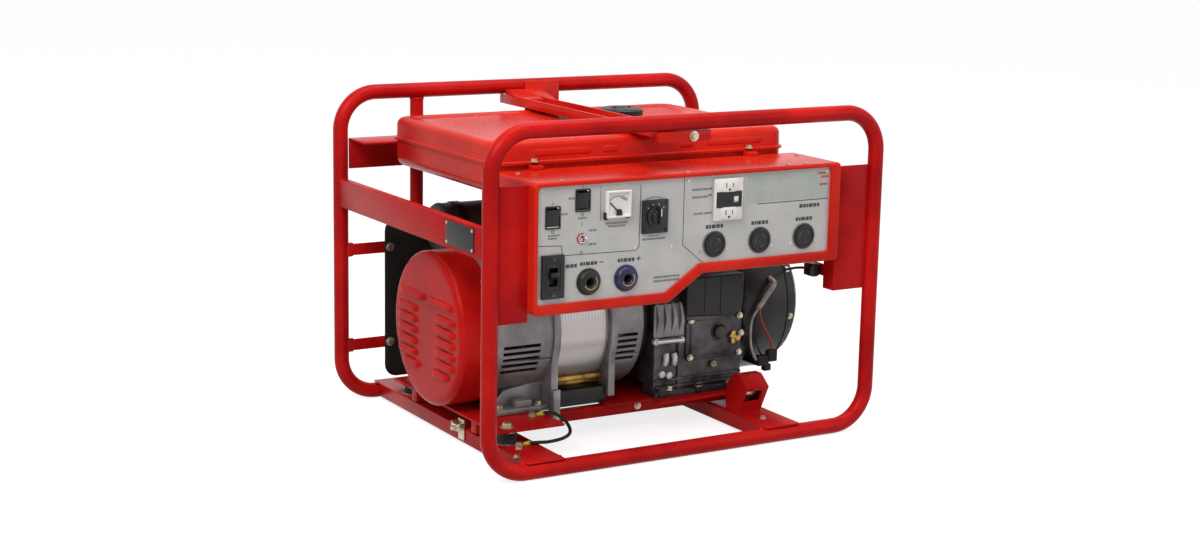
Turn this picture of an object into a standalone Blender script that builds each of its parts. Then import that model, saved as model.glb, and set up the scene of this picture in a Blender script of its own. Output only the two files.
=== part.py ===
"""Engine driven welder in a tube roll cage, as an assembly of separate pieces.

World frame: X along the machine, Y towards its back, Z up, origin on the ground
under the middle of the cage. All sizes are in metres.
"""
import math

import bmesh
import bpy
from mathutils import Matrix, Vector

# Cage
FRAME_LENGTH = 0.735
FRAME_WIDTH = 0.573
FRAME_HEIGHT = 0.5476
TUBE_RADIUS = 0.0127
BEND_RADIUS = 0.0635
CLEARANCE = 0.0003
SHEET = 0.003
TUBE_X = FRAME_LENGTH / 2 - TUBE_RADIUS
HOOP_Y = FRAME_WIDTH / 2 - TUBE_RADIUS
TUBE_TOP_Z = FRAME_HEIGHT - TUBE_RADIUS
TUBE_FACE_Y = HOOP_Y - TUBE_RADIUS - CLEARANCE
POST_X = -0.213
POST_RADIUS = 0.0115
MID_RAIL_BOTTOM = 0.344
MID_RAIL_HEIGHT = 0.048
MID_RAIL_LIP = 0.010
SHIELD_THICKNESS = 0.002
SHIELD_LEFT = -0.280
SHIELD_RIGHT = -0.030
SHIELD_BOTTOM = 0.038
SHIELD_TOP = 0.318
SHIELD_CORNER = 0.022
SHIELD_ARM_END = -0.262
SHIELD_ARM_HEIGHT = 0.020
SHIELD_ARM_UPPER_Z = 0.268
SHIELD_ARM_LOWER_Z = 0.101
ARM_TUBE_SETBACK = 0.0083
RAIL_TUBE_SETBACK = 0.0057

# Floor members and the bed they carry
MEMBER_WIDTH = 0.066
MEMBER_TOP = 0.0287
LEFT_MEMBER_X = -0.258
RIGHT_MEMBER_X = 0.1835
MEMBER_LAP = 0.008
MOUNT_RADIUS = 0.017
MOUNT_HEIGHT = 0.0207
LEFT_MOUNT_X = -0.268
LEFT_MOUNT_Y = 0.170
RIGHT_MOUNT_X = 0.1815
RIGHT_MOUNT_Y = 0.166
HOOD_WIDTH = 0.045
HOOD_BACK = 0.016
HOOD_NOSE = 0.023
HOOD_NOSE_Z = 0.075
HOOD_TOP = 0.093
HOOD_BACK_Z = 0.070
HOOD_FLAT = 0.004
HOOD_WINDOW_LOW = 0.050
HOOD_WINDOW_HIGH = 0.069
HOOD_WINDOW_POST = 0.011
MEMBER_LOW = 0.005
BED_THICKNESS = 0.004
BED_BOTTOM = MEMBER_TOP + CLEARANCE + MOUNT_HEIGHT + CLEARANCE
BED_TOP = BED_BOTTOM + BED_THICKNESS
BED_LEFT_OVERHANG = 0.027
BED_RIGHT_OVERHANG = 0.025
BED_PLATE_HALF = 0.190
BED_LEFT_PLATE_END = -0.175
BED_MIDDLE_START = -0.058
BED_MIDDLE_HALF = 0.124
BED_RIGHT_PLATE_START = 0.030
RAIL_DEPTH = 0.017
RAIL_WIDTH = 0.018
RAIL_Y = 0.109

# Shaft line
SHAFT_Z = 0.183
SHAFT_RADIUS = 0.014
CRANK_RADIUS = 0.015

# Generator, from its louvred cover to the coupling
COVER_LEFT = -0.325
COVER_RIGHT = -0.2623
COVER_RADIUS = 0.126
COVER_LIP = 0.005
COVER_WALL = 0.002
LOUVRE_TOP_Z = 0.232
LOUVRE_ROW_Z = 0.208
LOUVRE_PITCH = 0.0182
LOUVRE_ROWS = 5
LOUVRE_INNER = 0.038
LOUVRE_OUTER = 0.098
LOUVRE_TOP_INNER = 0.008
LOUVRE_TOP_OUTER = 0.092
LOUVRE_LOW_INNER = 0.027
LOUVRE_LOW_OUTER = 0.079
BRACKET_RADIUS = 0.122
BRACKET_WALL = 0.008
REAR_BRACKET_LEFT = -0.262
STATOR_LEFT = -0.148
STATOR_RIGHT = -0.053
STATOR_RADIUS = 0.118
STATOR_BORE = 0.096
WINDING_BORE = 0.074
ROTOR_RADIUS = 0.070
FRONT_BRACKET_RIGHT = 0.010
BRACKET_FLANGE = 0.012
FOOT_HALF_WIDTH = 0.118
FOOT_LUG_OUTER = 0.127
FOOT_LUG_BOTTOM = 0.036
FOOT_LUG_TOP = 0.090
FRONT_FOOT_Z = 0.067
FRONT_BEARING_BORE = 0.062
REAR_SLOTS = (-0.248, -0.181)
FRONT_SLOTS = (-0.038, 0.0005)
SLOT_HEIGHT = 0.0055
SLOT_PITCH = 0.0105
SLOT_TOP_Z = 0.167
SLOT_COUNT = 5

# Engine
ADAPTOR_RADIUS = 0.080
CRANKCASE_LEFT = 0.032
CRANKCASE_RIGHT = 0.205
CRANKCASE_FRONT = -0.122
CRANKCASE_TOP = 0.280
CASE_FOOT_HEIGHT = 0.018
CASE_FOOT_REACH = 0.006
CASE_FRONT_FOOT = -0.090
CASE_REAR_FOOT = (0.084, 0.112)
CASE_BORE = 0.066
CASE_WALL = 0.012
CYLINDER_TILT = math.radians(25.0)
CYLINDER_START = 0.088
CYLINDER_END = 0.254
CYLINDER_HALF = 0.060
CYLINDER_X = 0.110
FIN_PITCH = 0.014
FIN_DEPTH = 0.014
FIN_COUNT = 7
FLYWHEEL_LEFT = 0.222
FLYWHEEL_RIGHT = 0.262
FLYWHEEL_RADIUS = 0.100
HOUSING_LEFT = 0.2053
HOUSING_RIGHT = 0.302
HOUSING_RADIUS = 0.126
HOUSING_WALL = 0.0025
RECOIL_SLOTS = 6
RECOIL_RIGHT = 0.340
RECOIL_RADIUS = 0.113
MUFFLER_Y = 0.200
MUFFLER_Z = 0.306
MUFFLER_RADIUS = 0.043
MUFFLER_LEFT = -0.215
MUFFLER_RIGHT = -0.025
PIPE_RADIUS = 0.015
CARB_LENGTH = 0.045
CARB_FRONT = 0.100
CARB_BACK = 0.160
CARB_BOTTOM = 0.272
CLEANER_LEFT = 0.185
CLEANER_RIGHT = 0.300
CLEANER_FRONT = 0.055
CLEANER_BACK = 0.195
CLEANER_CORNER = 0.015
CLEANER_BOTTOM = 0.325
CLEANER_TOP = 0.405
CHOKE_Z = 0.306
CHOKE_HALF = 0.006
CHOKE_TIP = 0.066
CHOKE_PIVOT_Y = 0.110
OIL_CAP_X = 0.154
OIL_CAP_Z = 0.157
OIL_CAP_RADIUS = 0.014
OIL_GRIP_RADIUS = 0.0115
OIL_CAP_LENGTH = 0.016

# Starter grip and rope
GRIP_WIDTH = 0.019
GRIP_SHIFT = 0.004
GRIP_SETBACK = 0.028
GRIP_DEPTH = 0.020
GRIP_CORNER = 0.006
REST_INSET = 0.001
REST_HALF = 0.008
ROPE_SLOT = 0.009
ROPE_RADIUS = 0.0022
ROPE_ROUTE = ((0.270, -0.200, 0.269), (0.286, -0.160, 0.260), (0.314, -0.0960, 0.2430))

# Console
CONSOLE_TOP = FRAME_HEIGHT - 0.0886
CONSOLE_FRONT = HOOP_Y + 0.0222
CONSOLE_DEPTH = 0.125
LEFT_PLATE_WIDTH = 0.050
RIGHT_PLATE_WIDTH = 0.0727
CONSOLE_LEFT = -TUBE_X + TUBE_RADIUS + LEFT_PLATE_WIDTH
CONSOLE_RIGHT = TUBE_X - TUBE_RADIUS - RIGHT_PLATE_WIDTH
CONSOLE_DROP_LEFT = 0.201
CONSOLE_DROP_RIGHT = 0.160
STEP_LEFT_X = -0.054
STEP_RIGHT_X = 0.008
CONSOLE_WALL = 0.002
RIM_DEPTH = 0.0057
RIM_LEFT = 0.006
RIM_TOP = 0.007
RIM_RIGHT = 0.0185
RIM_BOTTOM = 0.016
PANEL_FRONT = CONSOLE_FRONT - RIM_DEPTH - CLEARANCE
PANEL_THICKNESS = 0.002
SIDE_PLATE_DROP = 0.213
SIDE_FLANGE = 0.028
SIDE_GAP = 0.008
SIDE_PLATE_STEP = 0.005
SIDE_PAD = 0.014
SIDE_PAD_DROPS = (0.030, 0.120)
GRIP_HEIGHT = 0.022
GRIP_DROP = 0.175
GRIP_HIGH = CONSOLE_TOP - GRIP_DROP
GRIP_LOW = GRIP_HIGH - GRIP_HEIGHT

# Lifting bar
LIFT_X = -0.024
LIFT_WIDTH = 0.046
LIFT_HEIGHT = 0.016
LIFT_TOP = FRAME_HEIGHT - 2 * TUBE_RADIUS - CLEARANCE
LIFT_REACH = HOOP_Y + 0.008
LIFT_FOOT_HALF = 0.047
LIFT_FOOT_DEPTH = 0.023
LIFT_SADDLE_LENGTH = 0.058
LIFT_SADDLE_RISE = 0.009
LIFT_SADDLE_RIGHT = 0.045
LIFT_PLATE_LEFT = 0.015
LIFT_PLATE_RIGHT = 0.083
LIFT_PLATE_BOTTOM = CONSOLE_TOP + 0.011
LIFT_PLATE_TOP = FRAME_HEIGHT - 0.003

# Fuel tank
TANK_LEFT = -0.298
TANK_RIGHT = 0.256
TANK_TAB = 0.0069
TANK_SEAT = CONSOLE_TOP + TANK_TAB + CLEARANCE
TANK_FLANGE = 0.002
TANK_FLANGE_WIDTH = 0.005
TANK_GAP = 0.0031
TANK_TOP = LIFT_TOP - LIFT_HEIGHT - TANK_GAP
TANK_DROP = 0.046
TANK_WALL = 0.0016
TANK_CORNER = 0.024
TANK_FRONT = CONSOLE_DEPTH - CONSOLE_FRONT + 0.003
TANK_BACK = HOOP_Y - 0.0693
TANK_CROWN_ROUND = 0.011
TANK_PAN_ROUND = 0.017
TAB_WIDTH = 0.020
FRONT_TAB_X = (-0.224, 0.176)
REAR_TAB_X = (-0.150, 0.140)
RAIL_WEB_Y = HOOP_Y - 0.0033
BACK_RAIL_HEIGHT = 0.052
CAP_X = 0.074
CAP_Y = 0.069
CAP_RADIUS = 0.0375
NECK_RADIUS = 0.024
NECK_WALL = 0.0035
NECK_HEIGHT = 0.009
CAP_HEIGHT = 0.014

# ---------------------------------------------------------------- materials

FINISHES = {
    "red_paint": ((0.47, 0.020, 0.022), 0.30, 0.0),
    "black_paint": ((0.012, 0.012, 0.013), 0.45, 0.0),
    "grey_paint": ((0.42, 0.43, 0.43), 0.40, 0.2),
    "cast_aluminium": ((0.30, 0.30, 0.31), 0.50, 0.9),
    "bright_aluminium": ((0.62, 0.62, 0.62), 0.32, 0.9),
    "steel": ((0.45, 0.44, 0.42), 0.35, 1.0),
    "copper_varnish": ((0.42, 0.18, 0.05), 0.35, 0.6),
    "black_plastic": ((0.015, 0.015, 0.016), 0.40, 0.0),
    "blue_black_plastic": ((0.020, 0.022, 0.060), 0.35, 0.0),
    "white_plastic": ((0.80, 0.80, 0.78), 0.35, 0.0),
    "rubber": ((0.015, 0.015, 0.015), 0.80, 0.0),
    "zinc": ((0.50, 0.48, 0.38), 0.40, 1.0),
}


def finish(obj, name):
    """Give a piece a material of its own, in one of the machine's finishes."""
    colour, roughness, metallic = FINISHES[name]
    material = bpy.data.materials.new(obj.name + "_" + name)
    material.use_nodes = True
    shader = material.node_tree.nodes["Principled BSDF"]
    shader.inputs["Base Color"].default_value = (*colour, 1.0)
    shader.inputs["Roughness"].default_value = roughness
    shader.inputs["Metallic"].default_value = metallic
    obj.data.materials.append(material)
    return obj


# ---------------------------------------------------------------- shape tools

def piece(name, bm, finish_name=None, smooth=False):
    """Turn a bmesh into a scene object, with its faces pointing out."""
    bmesh.ops.recalc_face_normals(bm, faces=bm.faces)
    mesh = bpy.data.meshes.new(name)
    bm.to_mesh(mesh)
    bm.free()
    if smooth:
        mesh.shade_smooth()
        mesh.set_sharp_from_angle(angle=math.radians(35))
    obj = bpy.data.objects.new(name, mesh)
    bpy.context.scene.collection.objects.link(obj)
    if finish_name:
        finish(obj, finish_name)
    return obj


def loft(bm, rings):
    """Skin a list of equal rings of points and close both ends."""
    rows = [[bm.verts.new(point) for point in ring] for ring in rings]
    count = len(rows[0])
    for first, second in zip(rows, rows[1:]):
        for i in range(count):
            j = (i + 1) % count
            bm.faces.new((first[i], first[j], second[j], second[i]))
    bm.faces.new(rows[0])
    bm.faces.new(rows[-1])
    return bm


def box(name, low, high, finish_name=None):
    """A plain block between two corners."""
    ring = ((low[0], low[1]), (high[0], low[1]), (high[0], high[1]), (low[0], high[1]))
    rings = [[(x, y, z) for x, y in ring] for z in (low[2], high[2])]
    return piece(name, loft(bmesh.new(), rings), finish_name)


def prism(name, outline, axis, start, end, finish_name=None):
    """An outline of (a, b) points pushed along one axis, X, Y or Z."""
    place = {
        "X": lambda a, b, t: (t, a, b),
        "Y": lambda a, b, t: (a, t, b),
        "Z": lambda a, b, t: (a, b, t),
    }[axis]
    rings = [[place(a, b, t) for a, b in outline] for t in (start, end)]
    return piece(name, loft(bmesh.new(), rings), finish_name)


def turned(name, profile, axis, centre, finish_name=None, steps=32):
    """A body of revolution: profile points are (distance along the axis, radius)."""
    place = {
        "X": lambda t, u, v: (t, centre[1] + u, centre[2] + v),
        "Y": lambda t, u, v: (centre[0] + u, t, centre[2] + v),
        "Z": lambda t, u, v: (centre[0] + u, centre[1] + v, t),
    }[axis]
    angles = [2 * math.pi * i / steps for i in range(steps)]
    rings = []
    for along, radius in profile:
        rings.append([place(along, radius * math.cos(a), radius * math.sin(a)) for a in angles])
    return piece(name, loft(bmesh.new(), rings), finish_name, smooth=True)


def hollow_turned(name, profile, axis, centre, finish_name=None, steps=32):
    """A ring-shaped body of revolution: its profile is a closed outline."""
    place = {
        "X": lambda t, u, v: (t, centre[1] + u, centre[2] + v),
        "Y": lambda t, u, v: (centre[0] + u, t, centre[2] + v),
        "Z": lambda t, u, v: (centre[0] + u, centre[1] + v, t),
    }[axis]
    bm = bmesh.new()
    rows = []
    for i in range(steps):
        a = 2 * math.pi * i / steps
        rows.append([bm.verts.new(place(t, r * math.cos(a), r * math.sin(a))) for t, r in profile])
    close_rows(bm, rows)
    return piece(name, bm, finish_name, smooth=True)


def close_rows(bm, rows):
    """Skin closed rows of points into a tube that joins up with itself."""
    count = len(rows[0])
    for i, row in enumerate(rows):
        after = rows[(i + 1) % len(rows)]
        for j in range(count):
            k = (j + 1) % count
            bm.faces.new((row[j], row[k], after[k], after[j]))


def sweep(name, path, radius, finish_name=None, sides=12, closed=False):
    """A round bar along a path of points, mitred at each point."""
    points = [Vector(point) for point in path]
    count = len(points)
    side = Vector((0, 1, 0))
    if abs((points[1] - points[0]).normalized().dot(side)) > 0.9:
        side = Vector((0, 0, 1))
    rings = []
    for i, point in enumerate(points):
        before = points[i - 1] if i > 0 or closed else point
        after = points[(i + 1) % count] if i < count - 1 or closed else point
        along = (after - before).normalized()
        across = (side - along * side.dot(along)).normalized()
        side = across
        up = along.cross(across)
        ring = []
        for k in range(sides):
            a = 2 * math.pi * k / sides
            ring.append(point + radius * (math.cos(a) * across + math.sin(a) * up))
        rings.append(ring)
    bm = bmesh.new()
    if closed:
        close_rows(bm, [[bm.verts.new(point) for point in ring] for ring in rings])
    else:
        loft(bm, rings)
    return piece(name, bm, finish_name, smooth=True)


def smooth_route(points, steps):
    """Points on a smooth curve through a short list of chosen ones."""
    chosen = [Vector(point) for point in points]
    padded = [chosen[0] * 2 - chosen[1]] + chosen + [chosen[-1] * 2 - chosen[-2]]
    route = []
    for a, b, c, d in zip(padded, padded[1:], padded[2:], padded[3:]):
        for i in range(steps):
            t = i / steps
            route.append(0.5 * (2 * b + (c - a) * t + (2 * a - 5 * b + 4 * c - d) * t ** 2
                                + (3 * b - a - 3 * c + d) * t ** 3))
    route.append(chosen[-1])
    return route


def rounded_rectangle(left, right, low, high, radius, steps=5):
    """The outline of a rectangle with round corners, as (a, b) points."""
    corners = (
        (right - radius, high - radius, 0.0),
        (left + radius, high - radius, 0.5),
        (left + radius, low + radius, 1.0),
        (right - radius, low + radius, 1.5),
    )
    outline = []
    for a, b, turn in corners:
        for i in range(steps + 1):
            angle = math.pi * (turn + 0.5 * i / steps)
            outline.append((a + radius * math.cos(angle), b + radius * math.sin(angle)))
    return outline


def inset(outline, distances):
    """Move each edge of an outline inwards by its own distance."""
    count = len(outline)
    lines = []
    for i in range(count):
        a = Vector(outline[i])
        b = Vector(outline[(i + 1) % count])
        along = (b - a).normalized()
        inward = Vector((-along.y, along.x))
        lines.append((a + inward * distances[i], along))
    moved = []
    for i in range(count):
        p, u = lines[i - 1]
        q, v = lines[i]
        t = (q - p).cross(v) / u.cross(v)
        moved.append(tuple(p + u * t))
    return moved


def combine(target, tools, operation):
    """Cut tools out of a piece, or weld them on, with live Booleans."""
    for tool in tools:
        modifier = target.modifiers.new(operation.lower(), "BOOLEAN")
        modifier.operation = operation
        modifier.solver = "EXACT"
        modifier.object = tool
        tool.hide_render = True
        tool.display_type = "WIRE"
    return target


def cut(target, *tools):
    return combine(target, tools, "DIFFERENCE")


def weld(target, *tools):
    return combine(target, tools, "UNION")


def set_axis(obj, point, turn=0.0, axis="X"):
    """Move a piece's origin onto its joint axis and turn it there."""
    obj.data.transform(Matrix.Translation(-Vector(point)))
    obj.location = point
    obj.rotation_euler["XYZ".index(axis)] = turn
    return obj


# ---------------------------------------------------------------- cage

def hoop(name, y):
    """One tube bent into an upright rounded rectangle."""
    outline = rounded_rectangle(-TUBE_X, TUBE_X, TUBE_RADIUS, TUBE_TOP_Z, BEND_RADIUS, 6)
    return sweep(name, [(x, y, z) for x, z in outline], TUBE_RADIUS, "red_paint", 16, True)


def left_mid_rail():
    """Flat bar with a folded top edge across the left end."""
    back = -TUBE_X - RAIL_TUBE_SETBACK
    face = back - SHEET
    top = MID_RAIL_BOTTOM + MID_RAIL_HEIGHT
    outline = (
        (face, MID_RAIL_BOTTOM), (back, MID_RAIL_BOTTOM), (back, top - SHEET),
        (back + MID_RAIL_LIP, top - SHEET), (back + MID_RAIL_LIP, top), (face, top),
    )
    return prism("left_mid_rail", outline, "Y", -TUBE_FACE_Y, TUBE_FACE_Y, "red_paint")


def back_post():
    bottom = 2 * TUBE_RADIUS + CLEARANCE
    top = FRAME_HEIGHT - 2 * TUBE_RADIUS - CLEARANCE
    path = ((POST_X, HOOP_Y, bottom), (POST_X, HOOP_Y, top))
    return sweep("back_post", path, POST_RADIUS, "red_paint", 16)


def back_upper_rail():
    """Angle whose shelf carries the back of the tank; the post passes through it."""
    reach = TUBE_X - TUBE_RADIUS - 0.0005
    shelf_edge = TANK_BACK - 0.004
    web_front = RAIL_WEB_Y - SHEET
    outline = (
        (shelf_edge, CONSOLE_TOP - SHEET), (web_front, CONSOLE_TOP - SHEET),
        (web_front, CONSOLE_TOP - BACK_RAIL_HEIGHT), (RAIL_WEB_Y, CONSOLE_TOP - BACK_RAIL_HEIGHT),
        (RAIL_WEB_Y, CONSOLE_TOP), (shelf_edge, CONSOLE_TOP),
    )
    rail = prism("back_upper_rail", outline, "X", -reach, reach, "red_paint")
    hole = turned("cut_rail_post", ((0.3, POST_RADIUS + CLEARANCE), (0.7, POST_RADIUS + CLEARANCE)),
                  "Z", (POST_X, HOOP_Y, 0.0), steps=16)
    cut(rail, hole)
    return weld(rail, *tank_tabs("rail", REAR_TAB_X, TANK_BACK - TANK_FLANGE_WIDTH + 0.0005,
                                 TANK_BACK + 0.012))


def tank_tabs(name, places, near, far):
    """Small pads that the seam flange of the tank is bolted to."""
    tabs = []
    for i, x in enumerate(places):
        tabs.append(box(f"weld_{name}_tab_{i}", (x - TAB_WIDTH / 2, near, CONSOLE_TOP - 0.001),
                        (x + TAB_WIDTH / 2, far, CONSOLE_TOP + TANK_TAB)))
    return tabs


def floor_member(name, centre_x):
    """Inverted channel lying across both bottom tubes."""
    half = MEMBER_WIDTH / 2
    low = MEMBER_LOW
    inner = half - SHEET
    under = MEMBER_TOP - SHEET
    outline = [(-half, low), (-inner, low), (-inner, under), (inner, under),
               (inner, low), (half, low), (half, MEMBER_TOP), (-half, MEMBER_TOP)]
    outline = [(centre_x + x, z) for x, z in outline]
    reach = HOOP_Y + MEMBER_LAP
    member = prism(name, outline, "Y", -reach, reach, "red_paint")
    notches = []
    for side in (-1, 1):
        near, far = sorted((side * TUBE_FACE_Y, side * (reach + 0.01)))
        notches.append(box(f"cut_{name}_{side + 1}", (centre_x - 0.05, near, 0.0),
                           (centre_x + 0.05, far, 2 * TUBE_RADIUS + CLEARANCE)))
    return cut(member, *notches)


def mount_housing(name, side):
    """Pressed six-sided hood over a right-hand mount, open to the bed, with a front window."""
    foot = MEMBER_TOP - 0.0005
    front = MOUNT_RADIUS + 0.004
    nose = front + HOOD_NOSE
    past = HOOD_BACK + 0.01
    profile = [(front, foot), (nose, HOOD_NOSE_Z), (front, HOOD_TOP), (HOOD_FLAT, HOOD_TOP),
               (-HOOD_BACK, HOOD_BACK_Z), (-HOOD_BACK, foot)]
    hollow = [(front - SHEET, foot - 0.01), (front - SHEET, foot + 0.001), (nose - SHEET, HOOD_NOSE_Z),
              (front - 0.001, HOOD_TOP - SHEET), (-past, HOOD_TOP - SHEET), (-past, foot - 0.01)]
    half = HOOD_WIDTH / 2

    def place(points):
        return [(side * (RIGHT_MOUNT_Y + y), z) for y, z in points]

    hood = prism(name, place(profile), "X", RIGHT_MOUNT_X - half, RIGHT_MOUNT_X + half, "red_paint")
    inside = prism("cut_" + name, place(hollow), "X", RIGHT_MOUNT_X - half + SHEET,
                   RIGHT_MOUNT_X + half - SHEET)
    low, high = sorted((side * (RIGHT_MOUNT_Y + 0.008), side * (RIGHT_MOUNT_Y + 0.05)))
    window = box("cut_window_" + name, (RIGHT_MOUNT_X - half + SHEET, low, HOOD_WINDOW_LOW),
                 (RIGHT_MOUNT_X + half - HOOD_WINDOW_POST, high, HOOD_WINDOW_HIGH))
    return cut(hood, inside, window)


def right_cross_member():
    member = floor_member("right_cross_member", RIGHT_MEMBER_X)
    housings = [mount_housing("weld_housing_front", -1), mount_housing("weld_housing_rear", 1)]
    return weld(member, *housings)


def rubber_mount(name, x, y):
    """Bonded rubber mount with a waist."""
    low = MEMBER_TOP + CLEARANCE
    high = low + MOUNT_HEIGHT
    waist = MOUNT_RADIUS - 0.0015
    profile = ((low, MOUNT_RADIUS), (low + 0.003, MOUNT_RADIUS), ((low + high) / 2, waist),
               (high - 0.003, MOUNT_RADIUS), (high, MOUNT_RADIUS))
    return turned(name, profile, "Z", (x, y, 0.0), "rubber", 20)


def bed_frame():
    """Welded bed: end plates, a middle plate and two long bars under them."""
    left = LEFT_MOUNT_X - BED_LEFT_OVERHANG
    right = RIGHT_MOUNT_X + BED_RIGHT_OVERHANG
    base = box("bed_frame", (left, -BED_PLATE_HALF, BED_BOTTOM), (BED_LEFT_PLATE_END, BED_PLATE_HALF, BED_TOP),
               "red_paint")
    reach = RIGHT_MOUNT_Y - HOOD_BACK - 0.0015
    tongue = HOOD_WIDTH / 2 - SHEET - 0.003
    parts = [
        box("weld_bed_right", (BED_RIGHT_PLATE_START, -reach, BED_BOTTOM), (right, reach, BED_TOP)),
        box("weld_bed_middle", (BED_MIDDLE_START, -BED_MIDDLE_HALF, BED_BOTTOM),
            (BED_RIGHT_PLATE_START + 0.001, BED_MIDDLE_HALF, BED_TOP)),
    ]
    for side in (-1, 1):
        inner, outer = sorted((side * (RAIL_Y - RAIL_WIDTH / 2), side * (RAIL_Y + RAIL_WIDTH / 2)))
        parts.append(box(f"weld_bed_bar_{side + 1}", (left, inner, BED_BOTTOM - RAIL_DEPTH),
                         (right, outer, BED_BOTTOM + 0.001)))
        near, far = sorted((side * (reach - 0.001), side * (RIGHT_MOUNT_Y + 0.014)))
        parts.append(box(f"weld_bed_tongue_{side + 1}", (RIGHT_MOUNT_X - tongue, near, BED_BOTTOM),
                         (RIGHT_MOUNT_X + tongue, far, BED_TOP)))
    return weld(base, *parts)


def lifting_bar():
    """Channel across the top, its ends under both hoops, with a stiffening plate behind."""
    half = LIFT_WIDTH / 2
    low = LIFT_TOP - LIFT_HEIGHT
    outline = [(-half, low), (half, low), (half, LIFT_TOP), (half - SHEET, LIFT_TOP),
               (half - SHEET, low + SHEET), (SHEET - half, low + SHEET),
               (SHEET - half, LIFT_TOP), (-half, LIFT_TOP)]
    outline = [(LIFT_X + x, z) for x, z in outline]
    reach = LIFT_REACH
    bar = prism("lifting_bar", outline, "Y", -reach, reach, "red_paint")
    foot = box("weld_lift_foot", (LIFT_X - LIFT_FOOT_HALF, -reach - 0.001, low),
               (LIFT_X + LIFT_FOOT_HALF, -reach - 0.001 + LIFT_FOOT_DEPTH, LIFT_TOP))
    back_y = TUBE_FACE_Y
    start = back_y - LIFT_SADDLE_LENGTH
    saddle = prism("weld_lift_saddle", ((start, LIFT_TOP - SHEET), (back_y, LIFT_TOP + LIFT_SADDLE_RISE),
                                        (back_y, low), (start, low)),
                   "X", LIFT_X - half - 0.001, LIFT_X + LIFT_SADDLE_RIGHT)
    plate = box("weld_lift_plate", (LIFT_X + LIFT_PLATE_LEFT, back_y - SHEET, LIFT_PLATE_BOTTOM),
                (LIFT_X + LIFT_PLATE_RIGHT, back_y, LIFT_PLATE_TOP))
    return weld(bar, foot, saddle, plate)


def heat_shield():
    """Black plate behind the generator and silencer."""
    outline = rounded_rectangle(SHIELD_LEFT, SHIELD_RIGHT, SHIELD_BOTTOM, SHIELD_TOP, SHIELD_CORNER)
    back = TUBE_FACE_Y - CLEARANCE
    return prism("heat_shield", outline, "Y", back - SHIELD_THICKNESS, back, "black_paint")


def shield_arm(name, z):
    y = TUBE_FACE_Y
    left = -TUBE_X + ARM_TUBE_SETBACK
    half = SHIELD_ARM_HEIGHT / 2
    return box(name, (left, y, z - half), (SHIELD_ARM_END, y + SHEET, z + half), "red_paint")


def cage():
    hoop("front_hoop", -HOOP_Y)
    hoop("back_hoop", HOOP_Y)
    left_mid_rail()
    back_post()
    back_upper_rail()
    floor_member("left_cross_member", LEFT_MEMBER_X)
    right_cross_member()
    rubber_mount("mount_left_front", LEFT_MOUNT_X, -LEFT_MOUNT_Y)
    rubber_mount("mount_left_rear", LEFT_MOUNT_X, LEFT_MOUNT_Y)
    rubber_mount("mount_right_front", RIGHT_MOUNT_X, -RIGHT_MOUNT_Y)
    rubber_mount("mount_right_rear", RIGHT_MOUNT_X, RIGHT_MOUNT_Y)
    bed_frame()
    lifting_bar()
    heat_shield()
    shield_arm("shield_arm_upper", SHIELD_ARM_UPPER_Z)
    shield_arm("shield_arm_lower", SHIELD_ARM_LOWER_Z)


# ---------------------------------------------------------------- fuel tank

def tank_ring(margin, radius, z):
    outline = rounded_rectangle(TANK_LEFT + margin, TANK_RIGHT - margin,
                                TANK_FRONT + margin, TANK_BACK - margin, radius)
    return [(x, y, z) for x, y in outline]


def tank_half(name, seam_near, seam_far, crown, rounding):
    """Pressed half shell: inner skin, seam flange, outer skin."""
    lip = TANK_FLANGE_WIDTH
    corner = TANK_CORNER
    wall = TANK_WALL
    up = 1 if crown > seam_far else -1
    outer = [
        tank_ring(lip, corner, seam_far),
        tank_ring(lip, corner, crown - up * rounding),
        tank_ring(lip + 0.3 * rounding, corner - 0.3 * rounding, crown - up * 0.3 * rounding),
        tank_ring(lip + rounding, corner - rounding, crown),
    ]
    inner = [
        tank_ring(lip + rounding + wall, corner - rounding, crown - up * wall),
        tank_ring(lip + wall, corner - wall, crown - up * rounding),
        tank_ring(lip + wall, corner - wall, seam_near),
        tank_ring(0.0, corner + lip, seam_near),
        tank_ring(0.0, corner + lip, seam_far),
    ]
    return piece(name, loft(bmesh.new(), inner + outer), "red_paint", smooth=True)


def fuel_tank():
    seat = TANK_SEAT
    middle = seat + TANK_FLANGE
    top = TANK_TOP
    neck_axis = (CAP_X, CAP_Y, 0.0)
    lower = tank_half("fuel_tank_lower", middle - CLEARANCE / 2, seat, seat - TANK_DROP, TANK_PAN_ROUND)
    upper = tank_half("fuel_tank_upper", middle + CLEARANCE / 2, middle + TANK_FLANGE, top,
                      TANK_CROWN_ROUND)
    bore = NECK_RADIUS - NECK_WALL
    hole = turned("cut_filler", ((top - 0.02, bore + 0.0005), (top + 0.02, bore + 0.0005)), "Z", neck_axis,
                  steps=24)
    profile = ((top - 0.004, bore), (top - 0.004, NECK_RADIUS), (top + NECK_HEIGHT, NECK_RADIUS),
               (top + NECK_HEIGHT, bore))
    neck = hollow_turned("weld_filler_neck", profile, "Z", neck_axis, steps=24)
    cut(upper, hole)
    weld(upper, neck)
    cap_low = top + CLEARANCE
    roof = cap_low + NECK_HEIGHT + CLEARANCE
    cap_top = cap_low + CAP_HEIGHT
    profile = ((roof, 0.001), (roof, NECK_RADIUS + CLEARANCE), (cap_low, NECK_RADIUS + CLEARANCE),
               (cap_low, CAP_RADIUS - 0.001), (cap_low + 0.002, CAP_RADIUS), (cap_top - 0.005, CAP_RADIUS),
               (cap_top - 0.001, CAP_RADIUS - 0.006), (cap_top, 0.001))
    cap = turned("fuel_cap", profile, "Z", neck_axis, "black_plastic", 24)
    set_axis(cap, (CAP_X, CAP_Y, cap_low))
    return lower, upper


# ---------------------------------------------------------------- console

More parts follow.
